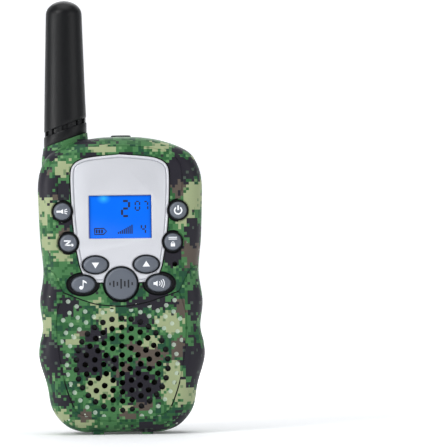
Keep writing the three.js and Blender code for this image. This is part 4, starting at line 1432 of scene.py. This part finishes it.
def clip_base():
    low, high = node_box("clip_base")
    back = HALF_DEPTH + 0.05
    half = high[0]
    base = loft("belt_clip_base", block((-half, back, low[2]), (half, back + 1.55, high[2]), 0.4))
    for side in (-1, 1):
        a, b = sorted((side * EAR_IN, side * half))
        profile = [(0, a), (2.3, a), (2.6, a + 0.3), (2.6, b - 0.3), (2.3, b), (0, b)]
        carve(base, loft("ear", turned(profile, (0, CLIP_Y, CLIP_Z), 40, "x")), "UNION")
        cheek = slab((a + 0.02, b - 0.02), (back + 1, CLIP_Y), (CLIP_Z - 2.59, CLIP_Z + 2.59))
        carve(base, loft("cheek", cheek), "UNION")
    pin = [(0, -20), (1.05, -20), (1.05, 20), (0, 20)]
    return carve(base, loft("pin_hole", turned(pin, (0, CLIP_Y, CLIP_Z), 32, "x")))


base = clip_base()
finish_piece(base, "black", sharp=35)
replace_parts(base, "clip_base")
pin_half = pin_high[0]
pin_profile = eased([(0, -pin_half), (1.0, -pin_half), (1.0, pin_half), (0, pin_half)], 0.25, 3)
pin = loft("belt_clip_pin", turned(pin_profile, (0, CLIP_Y, CLIP_Z), 32, "x"), "steel")
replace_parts(pin, "clip_pin")
spring_low, spring_high = node_box("clip_spring")
t = np.linspace(0, 1, 160)
turns = 4 * 2 * math.pi * t
helix = np.stack([
    spring_low[0] + 0.3 + t * (spring_high[0] - spring_low[0] - 0.6),
    CLIP_Y + 1.55 * np.cos(turns), CLIP_Z + 1.55 * np.sin(turns),
], 1)
clip_spring = loft("belt_clip_spring", wire(helix, 0.22, 8, (1, 0, 0)), "steel")
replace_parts(clip_spring, "clip_spring")
print("clip lever faces", len(lever.data.polygons))

# %% [markdown]
# A screw is turned, with a pan head, and a cross is cut in the head. Screws, cells and their springs sit
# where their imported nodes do. A cell is a printed sleeve with a metal cap at one end; every other one is
# turned over.

# %% Screws
def screw(node, body="case"):
    low, high = node_box(node)
    x, z = (low[0] + high[0]) / 2, (low[2] + high[2]) / 2
    tip, top = low[1] - PART_Y, high[1] - PART_Y
    head = eased([(HEAD_R, top - 1.4), (HEAD_R, top - 0.5), (HEAD_R * 0.6, top), (0, top)], 0.5, 4)
    shank = [(0, tip), (SCREW_R * 0.4, tip), (SCREW_R, tip + 1.2), (SCREW_R, top - 1.4)]
    profile = np.concatenate([shank, head])
    made = loft(node + "_turned", turned(profile, (x, 0, z), 32))
    carve(made, loft("slot", slab((x - 1.1, x + 1.1), (top - 0.8, top + 1), (z - 0.24, z + 0.24))))
    carve(made, loft("slot", slab((x - 0.24, x + 0.24), (top - 0.8, top + 1), (z - 1.1, z + 1.1))))
    finish_piece(made, "steel", body=body, sharp=30)
    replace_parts(made, node)


for node in CASE_SCREWS + ["board_screw_1", "board_screw_2"]:
    screw(node)
screw("door_screw", "door")

# %% [markdown]
# A cell's sleeve is turned about its own axis, and its spring is a wire on a helix that narrows to the cell.

# %% Cells and springs
for i in range(1, 5):
    low, high = node_box(f"cell_{i}")
    middle_at = ((low[0] + high[0]) / 2, (low[1] + high[1]) / 2 - PART_Y, 0)
    radius = (high[0] - low[0]) / 2
    foot, top = (low[2], high[2]) if i % 2 else (high[2], low[2])
    up = 1 if i % 2 else -1
    sleeve = eased([
        (0, foot), (radius - 0.6, foot), (radius, foot + 0.5 * up), (radius, top - 1.5 * up),
        (radius - 0.7, top - 0.9 * up), (0, top - 0.9 * up),
    ], 0.4, 3)
    cell = loft(f"cell_{i}_sleeve", turned(sleeve, middle_at, 48, "z"), "cell")
    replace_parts(cell, f"cell_{i}")
    nub = [(0, top - 0.9 * up), (2.6, top - 0.88 * up), (2.0, top - 0.5 * up), (1.9, top), (0, top)]
    loft(f"cell_{i}_cap", turned(eased(nub, 0.2, 3), middle_at, 32, "z"), "steel")
    low, high = node_box(f"cell_spring_{i}")
    t = np.linspace(0, 1, 90)
    turns = 2.5 * 2 * math.pi * t
    reach = 3.2 - 1.2 * (t if i % 2 else 1 - t)
    helix = np.stack([
        middle_at[0] + reach * np.cos(turns), middle_at[1] + reach * np.sin(turns),
        low[2] + 0.15 + t * (high[2] - low[2] - 0.3),
    ], 1)
    spring = loft(f"cell_{i}_spring", wire(helix, 0.15, 6, (0, 0, 1)), "steel")
    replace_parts(spring, f"cell_spring_{i}")
print("pieces", len(PIECES))

# %% [markdown]
# The microphone is a small metal can with a rolled rim and a felt disc, behind the hole beside the keys.

# %% Microphone
low, high = node_box("microphone")
mic_r = (high[0] - low[0]) / 2
mic_x, mic_z = node_middle("microphone")
mic_front, mic_back = low[1] - PART_Y, high[1] - PART_Y
can = eased([
    (0, mic_front + 0.25), (mic_r - 0.6, mic_front + 0.2), (mic_r - 0.5, mic_front), (mic_r, mic_front),
    (mic_r, mic_back), (0, mic_back),
], 0.15, 3)
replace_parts(loft("microphone_can", turned(can, (mic_x, 0, mic_z), 40), "steel"), "microphone")
felt = [
    (0, mic_front + 0.1), (mic_r - 0.75, mic_front + 0.12), (mic_r - 0.65, mic_front + 0.24),
    (0, mic_front + 0.24),
]
loft("microphone_felt", turned(felt, (mic_x, 0, mic_z), 40), "paper")
print("microphone radius", round(mic_r, 2))

# %% Sizes, then finish
print("triangles", sum(len(p.vertices) - 2 for piece in PIECES for p in piece.data.polygons))
